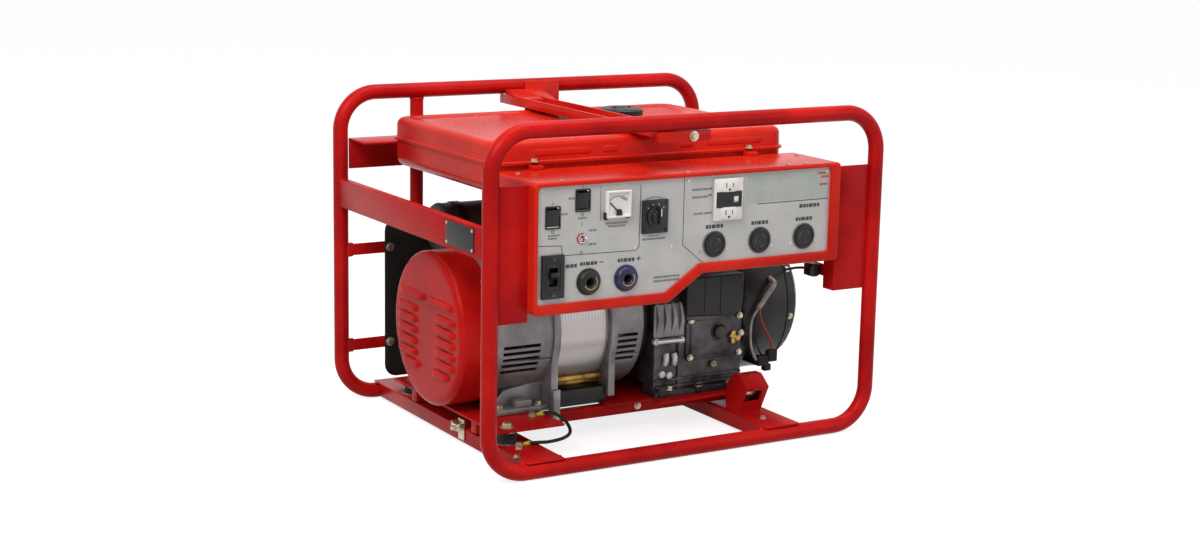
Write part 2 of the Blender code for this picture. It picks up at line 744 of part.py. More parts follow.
def console_outline():
    """Stepped front view of the console, run anticlockwise from bottom left."""
    low_left = CONSOLE_TOP - CONSOLE_DROP_LEFT
    low_right = CONSOLE_TOP - CONSOLE_DROP_RIGHT
    return [
        (CONSOLE_LEFT, low_left), (STEP_LEFT_X, low_left), (STEP_RIGHT_X, low_right),
        (CONSOLE_RIGHT, low_right), (CONSOLE_RIGHT, CONSOLE_TOP), (CONSOLE_LEFT, CONSOLE_TOP),
    ]


def console_box():
    outer = console_outline()
    inner = inset(outer, [CONSOLE_WALL] * 6)
    bottom = RIM_BOTTOM
    opening = inset(outer, (bottom, bottom, bottom, RIM_RIGHT, RIM_TOP, RIM_LEFT))
    back = -CONSOLE_FRONT + CONSOLE_DEPTH
    shell = prism("console_box", outer, "Y", -CONSOLE_FRONT, back, "red_paint")
    hollow = prism("cut_console_inside", inner, "Y", -CONSOLE_FRONT + RIM_DEPTH, back + 0.01)
    window = prism("cut_console_window", opening, "Y", -CONSOLE_FRONT - 0.01, back)
    cut(shell, hollow, window)
    lip = TANK_FRONT + TANK_FLANGE_WIDTH - 0.0005
    tabs = tank_tabs("console", FRONT_TAB_X, back - 0.012, lip)
    return weld(shell, *tabs, side_wing())


def side_wing():
    """Plate that joins the left side of the console to the front post."""
    low = CONSOLE_TOP - SIDE_PLATE_DROP
    return box("weld_side_wing", (TUBE_RADIUS + CLEARANCE - TUBE_X, -HOOP_Y - SHEET / 2, low),
               (CONSOLE_LEFT + CONSOLE_WALL / 2, -HOOP_Y + SHEET / 2, CONSOLE_TOP - SIDE_PLATE_STEP))


def grip_rest(left, back):
    """Bent tab behind the parked grip, notched for the rope."""
    low = GRIP_LOW + REST_INSET
    high = GRIP_HIGH - REST_INSET
    middle = CONSOLE_RIGHT + GRIP_SHIFT - GRIP_WIDTH / 2
    front = -HOOP_Y + GRIP_SETBACK + GRIP_DEPTH + CLEARANCE
    end = front + SHEET
    arm = box("weld_rest_arm", (left, back - SHEET, low), (left + SHEET, end, high))
    tab = box("weld_rest_tab", (middle - REST_HALF, front, low), (left + SHEET / 2, end, high))
    notch = box("cut_rest_notch", (middle - ROPE_SLOT / 2, front - SHEET, (low + high - ROPE_SLOT) / 2),
                (middle + ROPE_SLOT / 2, end + SHEET, high + SHEET))
    cut(tab, notch)
    return arm, tab


def right_plate():
    """Plate on the right post, its return flange held off the console by two pads."""
    front = -HOOP_Y - SHEET / 2
    low = CONSOLE_TOP - SIDE_PLATE_DROP - SHEET
    high = CONSOLE_TOP - 2 * SIDE_PLATE_STEP
    edge = TUBE_X - TUBE_RADIUS - CLEARANCE
    left = CONSOLE_RIGHT + SIDE_GAP
    back = front + SIDE_FLANGE
    outline = ((left, front), (edge, front), (edge, front + SHEET), (left + SHEET, front + SHEET),
               (left + SHEET, back), (left, back))
    plate = prism("console_right_plate", outline, "Z", low, high, "red_paint")
    pads = []
    for drop in SIDE_PAD_DROPS:
        z = high - drop
        pads.append(box(f"weld_side_pad_{len(pads)}",
                        (CONSOLE_RIGHT + CLEARANCE, back - SIDE_PAD, z - SIDE_PAD / 2),
                        (left + SHEET / 2, back, z + SIDE_PAD / 2)))
    weld(plate, *pads, *grip_rest(left, back))


PANEL_LEFT = CONSOLE_LEFT + RIM_LEFT
PANEL_RIGHT = CONSOLE_RIGHT - RIM_RIGHT
PANEL_TOP = CONSOLE_TOP - RIM_TOP

# Middles of what is fitted in the panel: across from its left or right edge, down from its top
ROCKER_LEFT = (PANEL_LEFT + 0.027, PANEL_TOP - 0.047)
ROCKER_RIGHT = (PANEL_LEFT + 0.078, PANEL_TOP - 0.024)
METER = (PANEL_LEFT + 0.138, PANEL_TOP - 0.033)
TOGGLE = (PANEL_LEFT + 0.077, PANEL_TOP - 0.082)
BREAKER = (PANEL_LEFT + 0.0265, PANEL_TOP - 0.136)
WELD_LEFT = (PANEL_LEFT + 0.090, PANEL_TOP - 0.149)
WELD_RIGHT = (PANEL_LEFT + 0.156, PANEL_TOP - 0.149)
SELECTOR = (PANEL_LEFT + 0.2045, PANEL_TOP - 0.057)
DUPLEX = (PANEL_RIGHT - 0.1988, PANEL_TOP - 0.039)
RECEPTACLES = [(PANEL_RIGHT - across, PANEL_TOP - 0.109) for across in (0.2208, 0.1348, 0.0488)]

ROCKER_WIDTH = 0.0215
ROCKER_RADIUS = 0.0145
METER_SIZE = (0.043, 0.042)
BREAKER_SIZE = (0.038, 0.066)
DUPLEX_SIZE = (0.052, 0.066)
SELECTOR_SIZE = (0.046, 0.052)
BODY_MARGIN = 0.004
WELD_SOCKET_RADIUS = 0.0208
WELD_BODY_RADIUS = 0.015
WELD_BORE = 0.0068
RECEPTACLE_RADIUS = 0.0205
RECEPTACLE_BODY = 0.018
TOGGLE_BALL = 0.005
BREAKER_PROUD = 0.0065
BREAKER_BACK = -0.240
BREAKER_SLOT = (0.015, 0.028, 0.014)
METER_PROUD = 0.008
METER_BACK = -0.255
METER_DIAL = (0.018, 0.0175, 0.004)
SELECTOR_PROUD = 0.005
SELECTOR_BACK = -0.258
DUPLEX_PROUD = 0.006
DUPLEX_BACK = -0.248
BUTTON_SHIFT = 0.013
BUTTON_RADIUS = 0.0039


def panel_hole(name, centre, width, height):
    x, z = centre
    return box("cut_panel_" + name, (x - width / 2, -CONSOLE_FRONT, z - height / 2),
               (x + width / 2, -CONSOLE_FRONT + 0.03, z + height / 2))


def round_hole(name, centre, radius):
    x, z = centre
    profile = ((-CONSOLE_FRONT, radius), (-CONSOLE_FRONT + 0.03, radius))
    return turned("cut_panel_" + name, profile, "Y", (x, 0.0, z), steps=24)


def face_plate():
    """Light grey panel behind the rim, with a hole for each thing fitted in it."""
    outline = inset(console_outline(), [CONSOLE_WALL + CLEARANCE] * 6)
    front = -PANEL_FRONT
    plate = prism("face_plate", outline, "Y", front, front + PANEL_THICKNESS, "grey_paint")
    gap = 2 * CLEARANCE
    shrink = 2 * BODY_MARGIN - gap
    rocker_hole = (ROCKER_WIDTH + gap, 2 * ROCKER_RADIUS + gap)
    holes = [
        panel_hole("rocker_left", ROCKER_LEFT, *rocker_hole),
        panel_hole("rocker_right", ROCKER_RIGHT, *rocker_hole),
        panel_hole("breaker", BREAKER, BREAKER_SIZE[0] - shrink, BREAKER_SIZE[1] - shrink),
        panel_hole("duplex", DUPLEX, DUPLEX_SIZE[0] - shrink, DUPLEX_SIZE[1] - shrink),
        panel_hole("meter", METER, METER_SIZE[0] - shrink, METER_SIZE[1] - shrink),
        panel_hole("selector", SELECTOR, SELECTOR_SIZE[0] - shrink, SELECTOR_SIZE[1] - shrink),
        round_hole("toggle", TOGGLE, TOGGLE_BALL + CLEARANCE),
        round_hole("weld_left", WELD_LEFT, WELD_BODY_RADIUS + CLEARANCE),
        round_hole("weld_right", WELD_RIGHT, WELD_BODY_RADIUS + CLEARANCE),
    ]
    for i, centre in enumerate(RECEPTACLES):
        holes.append(round_hole(f"receptacle_{i}", centre, RECEPTACLE_BODY + CLEARANCE))
    return cut(plate, *holes)


def flanged_block(name, centre, size, front, back, finish_name):
    """Square fitting: a bezel on the panel and a narrower body behind it."""
    x, z = centre
    seat = -PANEL_FRONT - CLEARANCE
    rings = []
    for y, margin in ((front, 0.0), (seat, 0.0), (seat, BODY_MARGIN), (back, BODY_MARGIN)):
        half_x = size[0] / 2 - margin
        half_z = size[1] / 2 - margin
        rings.append([(x - half_x, y, z - half_z), (x + half_x, y, z - half_z),
                      (x + half_x, y, z + half_z), (x - half_x, y, z + half_z)])
    return piece(name, loft(bmesh.new(), rings), finish_name)


def rocker(name, centre):
    """Rocker that turns about its middle; its on side stands proud."""
    x, z = centre
    pivot_y = -PANEL_FRONT + 0.003
    outline = []
    for i in range(9):
        angle = math.radians(-75 + 150 * i / 8)
        outline.append((pivot_y + ROCKER_RADIUS * math.cos(angle), z + ROCKER_RADIUS * math.sin(angle)))
    outline += [(pivot_y - 0.0075, z + 0.0116), (pivot_y - 0.0045, z), (pivot_y - 0.0045, z - 0.0125)]
    obj = prism(name, outline, "X", x - ROCKER_WIDTH / 2, x + ROCKER_WIDTH / 2, "black_plastic")
    return set_axis(obj, (x, pivot_y, z))


def toggle_lever():
    """Bat lever on a ball in the panel hole, resting tilted up."""
    x, z = TOGGLE
    pivot_y = -PANEL_FRONT + 0.001
    profile = ((pivot_y + 0.004, 0.0020), (pivot_y + 0.003, 0.0040), (pivot_y, TOGGLE_BALL),
               (pivot_y - 0.003, 0.0040), (pivot_y - 0.005, 0.0018), (pivot_y - 0.014, 0.0026),
               (pivot_y - 0.017, 0.0016))
    obj = turned("toggle_lever", profile, "Y", (x, 0.0, z), "steel", 16)
    return set_axis(obj, (x, pivot_y, z), math.radians(-12), "X")


def main_breaker():
    """Tall black breaker with a bat handle in a slot."""
    x, z = BREAKER
    front = -PANEL_FRONT - BREAKER_PROUD
    body = flanged_block("main_breaker", BREAKER, BREAKER_SIZE, front, BREAKER_BACK, "black_plastic")
    width, height, depth = BREAKER_SLOT
    slot = box("cut_breaker_slot", (x - width / 2, front - 0.01, z - height / 2),
               (x + width / 2, front + depth, z + height / 2))
    cut(body, slot)
    pivot_y = front + 0.007
    outline = []
    for i in range(9):
        angle = math.radians(-110 + 220 * i / 8)
        outline.append((pivot_y + 0.006 * math.cos(angle), z + 0.006 * math.sin(angle)))
    outline += [(front - 0.008, z + 0.0025), (front - 0.008, z - 0.0025)]
    half = width / 2 - CLEARANCE
    handle = prism("breaker_handle", outline, "X", x - half, x + half, "black_plastic")
    set_axis(handle, (x, pivot_y, z), math.radians(-22), "X")
    return body


def voltmeter():
    """Square meter; its dial is sunk so that the pointer has room."""
    x, z = METER
    front = -PANEL_FRONT - METER_PROUD
    body = flanged_block("voltmeter", METER, METER_SIZE, front, METER_BACK, "white_plastic")
    half_width, half_height, depth = METER_DIAL
    dial = box("cut_meter_dial", (x - half_width, front - 0.01, z - half_height),
               (x + half_width, front + depth, z + half_height))
    cut(body, dial)
    pivot = (x, front + 0.003, z - 0.012)
    outline = [(x - 0.0007, z + 0.009), (x - 0.0012, z - 0.010), (x - 0.003, z - 0.012),
               (x - 0.002, z - 0.015), (x + 0.002, z - 0.015), (x + 0.003, z - 0.012),
               (x + 0.0012, z - 0.010), (x + 0.0007, z + 0.009)]
    needle = prism("meter_needle", outline, "Y", front + 0.0029, front + 0.0037, "black_plastic")
    set_axis(needle, pivot, math.radians(-45), "Y")
    return body


def selector():
    """Square black switch plate with a pointer knob."""
    x, z = SELECTOR
    front = -PANEL_FRONT - SELECTOR_PROUD
    flanged_block("selector_switch", SELECTOR, SELECTOR_SIZE, front, SELECTOR_BACK, "black_plastic")
    back = front - CLEARANCE
    profile = ((back, 0.0165), (back - 0.004, 0.0165), (back - 0.005, 0.012), (back - 0.012, 0.011))
    knob = turned("selector_knob", profile, "Y", (x, 0.0, z), "black_plastic", 24)
    grip = prism("weld_knob_grip", ((x - 0.003, z - 0.011), (x + 0.003, z - 0.011), (x + 0.003, z + 0.0155),
                                    (x, z + 0.0175), (x - 0.003, z + 0.0155)),
                 "Y", back - 0.0165, back - 0.0035)
    grip.data.transform(Matrix.Translation((-x, -back, -z)))
    grip.parent = set_axis(knob, (x, back, z))
    return weld(knob, grip)


def duplex_outlet():
    """White outlet with a black middle and a round reset button."""
    x, z = DUPLEX
    front = -PANEL_FRONT - DUPLEX_PROUD
    body = flanged_block("duplex_outlet", DUPLEX, DUPLEX_SIZE, front, DUPLEX_BACK, "white_plastic")
    button_x = x + BUTTON_SHIFT
    pocket_radius = BUTTON_RADIUS + CLEARANCE
    pocket = turned("cut_reset_pocket", ((front - 0.01, pocket_radius), (front + 0.007, pocket_radius)), "Y",
                    (button_x, 0.0, z), steps=16)
    cut(body, pocket)
    profile = ((front - 0.0018, BUTTON_RADIUS - 0.0007), (front - 0.0012, BUTTON_RADIUS),
               (front + 0.0047, BUTTON_RADIUS))
    button = turned("reset_button", profile, "Y", (button_x, 0.0, z), "white_plastic", 16)
    set_axis(button, (button_x, front, z))
    return body


def weld_socket(name, centre, finish_name):
    """Round cable socket with an open bore."""
    x, z = centre
    seat = -PANEL_FRONT - CLEARANCE
    front = seat - 0.008
    back = seat + 0.040
    bottom = front + 0.026
    profile = ((bottom, 0.0005), (bottom, WELD_BORE), (front, WELD_BORE), (front, 0.0165),
               (seat - 0.005, 0.0185), (seat - 0.003, WELD_SOCKET_RADIUS), (seat, WELD_SOCKET_RADIUS),
               (seat, WELD_BODY_RADIUS), (back, WELD_BODY_RADIUS))
    return turned(name, profile, "Y", (x, 0.0, z), finish_name, 24)


def receptacle(name, centre):
    """Round flush outlet with a raised face."""
    x, z = centre
    seat = -PANEL_FRONT - CLEARANCE
    profile = ((seat - 0.0045, 0.0165), (seat - 0.0045, 0.0172), (seat - 0.0025, 0.0178),
               (seat - 0.0020, RECEPTACLE_RADIUS), (seat, RECEPTACLE_RADIUS),
               (seat, RECEPTACLE_BODY), (seat + 0.036, RECEPTACLE_BODY))
    return turned(name, profile, "Y", (x, 0.0, z), "black_plastic", 24)


def console():
    console_box()
    right_plate()
    face_plate()
    rocker("rocker_left", ROCKER_LEFT)
    rocker("rocker_right", ROCKER_RIGHT)
    toggle_lever()
    main_breaker()
    voltmeter()
    selector()
    duplex_outlet()
    weld_socket("weld_socket_left", WELD_LEFT, "black_plastic")
    weld_socket("weld_socket_right", WELD_RIGHT, "blue_black_plastic")
    for name, centre in zip(("receptacle_left", "receptacle_middle", "receptacle_right"), RECEPTACLES):
        receptacle(name, centre)


# ---------------------------------------------------------------- generator

AXIS = (0.0, 0.0, SHAFT_Z)


def generator_end_cover():
    """Red drum over the brush end, with louvre slots in its flat face."""
    wall = COVER_WALL
    profile = (
        (COVER_RIGHT, BRACKET_RADIUS - COVER_LIP), (COVER_RIGHT - wall, BRACKET_RADIUS - COVER_LIP),
        (COVER_RIGHT - wall, COVER_RADIUS - wall), (COVER_LEFT + 0.007, COVER_RADIUS - wall),
        (COVER_LEFT + 0.0035, COVER_RADIUS - 0.0045), (COVER_LEFT + wall, COVER_RADIUS - 0.009),
        (COVER_LEFT + wall, 0.001), (COVER_LEFT, 0.001), (COVER_LEFT, COVER_RADIUS - 0.009),
        (COVER_LEFT + 0.0025, COVER_RADIUS - 0.0025), (COVER_LEFT + 0.008, COVER_RADIUS),
        (COVER_RIGHT, COVER_RADIUS),
    )
    cover = hollow_turned("generator_end_cover", profile, "X", AXIS, "red_paint", 40)
    slots = []
    for side in (-1, 1):
        rows = [(LOUVRE_TOP_Z, LOUVRE_TOP_INNER, LOUVRE_TOP_OUTER)]
        rows += [(LOUVRE_ROW_Z - LOUVRE_PITCH * i, LOUVRE_INNER, LOUVRE_OUTER) for i in range(LOUVRE_ROWS)]
        rows.append((LOUVRE_ROW_Z - LOUVRE_PITCH * LOUVRE_ROWS, LOUVRE_LOW_INNER, LOUVRE_LOW_OUTER))
        for i, (z, inner, outer) in enumerate(rows):
            near, far = sorted((side * inner, side * outer))
            slots.append(box(f"cut_louvre_{side + 1}_{i}", (COVER_LEFT - 0.01, near, z - 0.002),
                             (COVER_LEFT + 0.01, far, z + 0.002)))
    hub = turned("weld_cover_hub", ((COVER_LEFT, 0.003), (COVER_LEFT + wall, 0.003)), "X", AXIS, steps=12)
    cut(cover, *slots)
    return weld(cover, hub)


def side_slots(name, left, right):
    """Cutters for the air slots through both sides of a bracket."""
    slots = []
    for i in range(SLOT_COUNT):
        z = SLOT_TOP_Z - SLOT_PITCH * i
        slots.append(box(f"cut_{name}_slot_{i}", (left, -0.2, z - SLOT_HEIGHT / 2),
                         (right, 0.2, z + SLOT_HEIGHT / 2)))
    return slots


def flange_outline(foot):
    """Round above, straight sided down to the foot."""
    outline = [(-FOOT_HALF_WIDTH, foot), (FOOT_HALF_WIDTH, foot)]
    radius = BRACKET_RADIUS + 0.006
    start = -math.asin(0.39)
    for i in range(21):
        angle = start + (math.pi - 2 * start) * i / 20
        outline.append((radius * math.cos(angle), SHAFT_Z + radius * math.sin(angle)))
    return outline


def bearing_bracket(name, outer_x, inner_x, bearing_bore, foot, slot_left, slot_right):
    """Cast end bracket: drum, bearing wall at its outer end, flange and foot at the stator."""
    side = 1 if inner_x > outer_x else -1
    wall = BRACKET_WALL
    profile = (
        (outer_x, bearing_bore), (outer_x, BRACKET_RADIUS), (inner_x, BRACKET_RADIUS),
        (inner_x, BRACKET_RADIUS - wall), (outer_x + side * wall, BRACKET_RADIUS - wall),
        (outer_x + side * wall, bearing_bore),
    )
    body = hollow_turned(name, profile, "X", AXIS, "cast_aluminium", 40)
    flange_x = inner_x - side * BRACKET_FLANGE
    flange = prism("weld_flange_" + name, flange_outline(foot), "X", flange_x, inner_x)
    bore = BRACKET_RADIUS - wall
    opening = turned("cut_bore_" + name, ((flange_x - 0.02, bore), (inner_x + 0.02, bore)), "X", AXIS,
                     steps=40)
    cut(flange, opening)
    weld(body, flange)
    return cut(body, *side_slots(name, slot_left, slot_right))


def stator():
    """Laminated core and the windings that line it."""
    left = STATOR_LEFT + CLEARANCE
    right = STATOR_RIGHT - CLEARANCE
    profile = ((left, STATOR_BORE), (left, STATOR_RADIUS), (right, STATOR_RADIUS), (right, STATOR_BORE))
    hollow_turned("stator_core", profile, "X", AXIS, "bright_aluminium", 40)
    outer = STATOR_BORE - CLEARANCE
    profile = ((left - 0.030, WINDING_BORE + 0.004), (left - 0.024, outer), (right + 0.024, outer),
               (right + 0.030, WINDING_BORE + 0.004), (right + 0.024, WINDING_BORE),
               (left - 0.024, WINDING_BORE))
    hollow_turned("stator_windings", profile, "X", AXIS, "copper_varnish", 32)


def rotor():
    """Shaft, wound core and cooling fan hub in one balanced assembly."""
    end = CRANKCASE_LEFT - 0.0073
    profile = (
        (COVER_LEFT + 0.025, SHAFT_RADIUS - 0.002), (COVER_LEFT + 0.027, SHAFT_RADIUS),
        (STATOR_LEFT - 0.004, SHAFT_RADIUS), (STATOR_LEFT - 0.004, ROTOR_RADIUS),
        (STATOR_RIGHT + 0.004, ROTOR_RADIUS), (STATOR_RIGHT + 0.004, SHAFT_RADIUS),
        (STATOR_RIGHT + 0.036, SHAFT_RADIUS), (STATOR_RIGHT + 0.036, 0.095),
        (STATOR_RIGHT + 0.042, 0.095), (STATOR_RIGHT + 0.042, SHAFT_RADIUS), (end, SHAFT_RADIUS),
    )
    return set_axis(turned("rotor", profile, "X", AXIS, "steel", 24), AXIS)


def generator():
    generator_end_cover()
    rear = bearing_bracket("generator_rear_bracket", REAR_BRACKET_LEFT, STATOR_LEFT, SHAFT_RADIUS + CLEARANCE,
                           BED_TOP + CLEARANCE, *REAR_SLOTS)
    lugs = []
    for side in (-1, 1):
        near, far = sorted((side * (RAIL_Y + RAIL_WIDTH / 2 + CLEARANCE), side * FOOT_LUG_OUTER))
        lugs.append(box(f"weld_foot_lug_{side + 1}", (STATOR_LEFT - BRACKET_FLANGE, near, FOOT_LUG_BOTTOM),
                        (STATOR_LEFT, far, FOOT_LUG_TOP)))
        near, far = sorted((side * (FOOT_HALF_WIDTH - 0.004), side * FOOT_LUG_OUTER))
        lugs.append(box(f"weld_foot_arm_{side + 1}", (STATOR_LEFT - BRACKET_FLANGE, near, BED_TOP + 0.006),
                        (STATOR_LEFT, far, FOOT_LUG_TOP)))
    weld(rear, *lugs)
    bearing_bracket("generator_front_bracket", FRONT_BRACKET_RIGHT, STATOR_RIGHT, FRONT_BEARING_BORE,
                    FRONT_FOOT_Z, *FRONT_SLOTS)
    stator()
    rotor()


# ---------------------------------------------------------------- engine

def along_cylinder(t, p):
    """Point (y, z) at distance t up the inclined bore and p square to it."""
    y = t * math.cos(CYLINDER_TILT) - p * math.sin(CYLINDER_TILT)
    z = SHAFT_Z + t * math.sin(CYLINDER_TILT) + p * math.cos(CYLINDER_TILT)
    return y, z


def crankcase():
    """Cast case with its feet, hollow round the crank, and the coupling ring."""
    foot = BED_TOP + CLEARANCE
    half = CYLINDER_HALF + 0.005
    joint = CYLINDER_START - CLEARANCE
    near, far = CASE_REAR_FOOT
    arch = foot + CASE_FOOT_HEIGHT
    toe = CRANKCASE_FRONT - CASE_FOOT_REACH
    outline = [
        (CASE_FRONT_FOOT, foot), (CASE_FRONT_FOOT, arch), (near, arch), (near, foot), (far, foot),
        (far, foot + 0.012), along_cylinder(joint, -half), along_cylinder(joint, half),
        (-0.040, CRANKCASE_TOP), (-0.095, CRANKCASE_TOP - 0.025), (CRANKCASE_FRONT, SHAFT_Z + 0.022),
        (CRANKCASE_FRONT, foot + 0.014), (toe, foot + 0.009), (toe, foot),
    ]
    case = prism("crankcase", outline, "X", CRANKCASE_LEFT, CRANKCASE_RIGHT, "cast_aluminium")
    ring_left = FRONT_BRACKET_RIGHT + CLEARANCE
    ring = turned("weld_coupling_ring", ((ring_left, ADAPTOR_RADIUS), (CRANKCASE_LEFT + 0.004,
                                                                       ADAPTOR_RADIUS)), "X", AXIS, steps=32)
    bore = CRANK_RADIUS + CLEARANCE
    near = CRANKCASE_LEFT - 0.002
    first = CRANKCASE_LEFT + CASE_WALL
    last = CRANKCASE_RIGHT - CASE_WALL
    profile = ((0.0, FRONT_BEARING_BORE), (near, FRONT_BEARING_BORE), (near, bore), (first, bore),
               (first, CASE_BORE), (last, CASE_BORE), (last, bore), (CRANKCASE_RIGHT + 0.02, bore))
    inside = turned("cut_crankcase_inside", profile, "X", AXIS, steps=32)
    weld(case, ring)
    return cut(case, inside)


def crankshaft():
    """Shaft with two webs and an offset pin."""
    start = CRANKCASE_LEFT - 0.007
    end = FLYWHEEL_RIGHT + 0.008
    profile = ((start, CRANK_RADIUS), (0.085, CRANK_RADIUS), (0.085, 0.055), (0.100, 0.055),
               (0.100, 0.010), (0.125, 0.010), (0.125, 0.055), (0.140, 0.055), (0.140, CRANK_RADIUS),
               (end, CRANK_RADIUS))
    shaft = turned("crankshaft", profile, "X", AXIS, "steel", 24)
    pin = turned("weld_crank_pin", ((0.098, 0.016), (0.127, 0.016)), "X", (0.0, 0.0, SHAFT_Z + 0.032),
                 steps=16)
    pin.data.transform(Matrix.Translation(-Vector(AXIS)))
    pin.parent = set_axis(shaft, AXIS)
    return weld(shaft, pin)


def flywheel():
    """Flywheel whose rim carries fan vanes."""
    vanes = 14
    rim = FLYWHEEL_RADIUS - 0.022
    outline = []
    for i in range(vanes):
        for turn, radius in ((0.0, rim), (0.55, rim), (0.60, FLYWHEEL_RADIUS), (0.90, FLYWHEEL_RADIUS)):
            angle = 2 * math.pi * (i + turn) / vanes
            outline.append((radius * math.cos(angle), SHAFT_Z + radius * math.sin(angle)))
    wheel = prism("flywheel", outline, "X", FLYWHEEL_LEFT, FLYWHEEL_RIGHT, "cast_aluminium")
    bore = CRANK_RADIUS + CLEARANCE
    hole = turned("cut_flywheel_bore", ((0.2, bore), (0.3, bore)), "X", (0.0, 0.0, 0.0), steps=24)
    hole.parent = set_axis(wheel, AXIS)
    return cut(wheel, hole)


def fan_housing():
    """Black shroud round the flywheel, open to the recoil starter."""
    wall = HOUSING_WALL
    left = HOUSING_LEFT
    mouth = RECOIL_RADIUS - 0.015
    profile = (
        (left, 0.060), (left, HOUSING_RADIUS - 0.008), (left + 0.008, HOUSING_RADIUS),
        (HOUSING_RIGHT - 0.004, HOUSING_RADIUS), (HOUSING_RIGHT, HOUSING_RADIUS - 0.004),
        (HOUSING_RIGHT, mouth), (HOUSING_RIGHT - wall, mouth),
        (HOUSING_RIGHT - wall, HOUSING_RADIUS - 0.006),
        (HOUSING_RIGHT - 0.006, HOUSING_RADIUS - wall), (left + 0.009, HOUSING_RADIUS - wall),
        (left + wall, HOUSING_RADIUS - 0.009), (left + wall, 0.060),
    )
    return hollow_turned("fan_housing", profile, "X", AXIS, "black_paint", 40)


def recoil_cover():
    """Domed starter cover with radial air slots."""
    wall = HOUSING_WALL
    left = HOUSING_RIGHT + CLEARANCE
    right = RECOIL_RIGHT
    profile = (
        (left, RECOIL_RADIUS), (left + 0.022, RECOIL_RADIUS - 0.002), (right - 0.006, RECOIL_RADIUS - 0.012),
        (right, RECOIL_RADIUS - 0.028), (right, 0.001), (right - wall, 0.001),
        (right - wall, RECOIL_RADIUS - 0.029), (right - 0.008, RECOIL_RADIUS - 0.014),
        (left + 0.021, RECOIL_RADIUS - 0.002 - wall), (left, RECOIL_RADIUS - wall),
    )
    cover = hollow_turned("recoil_cover", profile, "X", AXIS, "black_paint", 40)
    hub = turned("weld_recoil_hub", ((right - wall, 0.003), (right, 0.003)), "X", AXIS, steps=12)
    slots = []
    for i in range(RECOIL_SLOTS):
        slot = box(f"cut_recoil_slot_{i}", (right - 0.02, 0.038, -0.004), (right + 0.01, 0.068, 0.004))
        slot.data.transform(Matrix.Rotation(2 * math.pi * i / RECOIL_SLOTS, 4, "X"))
        slot.location = AXIS
        slots.append(slot)
    cut(cover, *slots)
    return weld(cover, hub)


def starter():
    """Pull grip parked below the console, and the rope from it to the starter cover."""
    left = CONSOLE_RIGHT - GRIP_WIDTH + GRIP_SHIFT
    middle = left + GRIP_WIDTH / 2
    front = -HOOP_Y + GRIP_SETBACK
    back = front + GRIP_DEPTH
    outline = rounded_rectangle(left, left + GRIP_WIDTH, GRIP_LOW, GRIP_HIGH, GRIP_CORNER, 3)
    prism("starter_grip", outline, "Y", front, back, "black_plastic")
    route = ((middle, back + ROPE_RADIUS / 2, (GRIP_LOW + GRIP_HIGH) / 2),) + ROPE_ROUTE
    sweep("starter_rope", smooth_route(route, 4), ROPE_RADIUS, "black_plastic", sides=8)


def cylinder():
    """Finned barrel and head, leaning towards the back."""
    half = CYLINDER_HALF
    upper = []
    t = CYLINDER_START + 0.012
    upper.append((CYLINDER_START, half))
    for i in range(FIN_COUNT):
        upper += [(t, half), (t, half - FIN_DEPTH), (t + 0.009, half - FIN_DEPTH), (t + 0.009, half)]
        t += FIN_PITCH
    upper.append((CYLINDER_END - 0.010, half))
    upper.append((CYLINDER_END, half - 0.012))
    outline = upper + [(t, -p) for t, p in reversed(upper)]
    outline = [along_cylinder(t, p) for t, p in outline]
    left = CYLINDER_X - CYLINDER_HALF
    right = CYLINDER_X + CYLINDER_HALF
    return prism("cylinder", outline, "X", left, right, "cast_aluminium")


def muffler():
    """Round silencer with its pipe to the head."""
    profile = (
        (MUFFLER_LEFT, MUFFLER_RADIUS - 0.006), (MUFFLER_LEFT + 0.006, MUFFLER_RADIUS),
        (MUFFLER_RIGHT - 0.006, MUFFLER_RADIUS), (MUFFLER_RIGHT, MUFFLER_RADIUS - 0.006),
        (MUFFLER_RIGHT, PIPE_RADIUS), (CYLINDER_X - CYLINDER_HALF - CLEARANCE, PIPE_RADIUS),
    )
    return turned("muffler", profile, "X", (0.0, MUFFLER_Y, MUFFLER_Z), "black_paint", 28)


def carburettor():
    right = CYLINDER_X + CYLINDER_HALF
    return box("carburettor", (right + CLEARANCE, CARB_FRONT, CARB_BOTTOM),
               (right + CARB_LENGTH, CARB_BACK, CLEANER_BOTTOM - CLEARANCE), "cast_aluminium")


def choke_lever():
    """Lever on the side of the carburettor, pointing to the front."""
    left = CYLINDER_X + CYLINDER_HALF + CARB_LENGTH + CLEARANCE
    outline = ((CHOKE_TIP, CHOKE_Z - 0.004), (CHOKE_PIVOT_Y, CHOKE_Z - CHOKE_HALF),
               (CHOKE_PIVOT_Y + 0.008, CHOKE_Z), (CHOKE_PIVOT_Y, CHOKE_Z + CHOKE_HALF),
               (CHOKE_TIP, CHOKE_Z + 0.004))
    lever = prism("choke_lever", outline, "X", left, left + SHEET, "steel")
    return set_axis(lever, (left, CHOKE_PIVOT_Y, CHOKE_Z))


def air_cleaner():
    """Rounded case on top of the carburettor, below the tank."""
    outline = rounded_rectangle(CLEANER_LEFT, CLEANER_RIGHT, CLEANER_FRONT, CLEANER_BACK, CLEANER_CORNER, 4)
    return prism("air_cleaner", outline, "Z", CLEANER_BOTTOM, CLEANER_TOP, "black_plastic")


def oil_filler_cap():
    """Screw plug low on the front of the crankcase."""
    seat = CRANKCASE_FRONT - CLEARANCE
    end = seat - OIL_CAP_LENGTH
    profile = ((end, OIL_GRIP_RADIUS - 0.0025), (end + 0.002, OIL_GRIP_RADIUS), (seat - 0.004, OIL_GRIP_RADIUS),
               (seat - 0.004, OIL_CAP_RADIUS), (seat, OIL_CAP_RADIUS))
    cap = turned("oil_filler_cap", profile, "Y", (OIL_CAP_X, 0.0, OIL_CAP_Z), "black_plastic", 16)
    return set_axis(cap, (OIL_CAP_X, seat, OIL_CAP_Z))


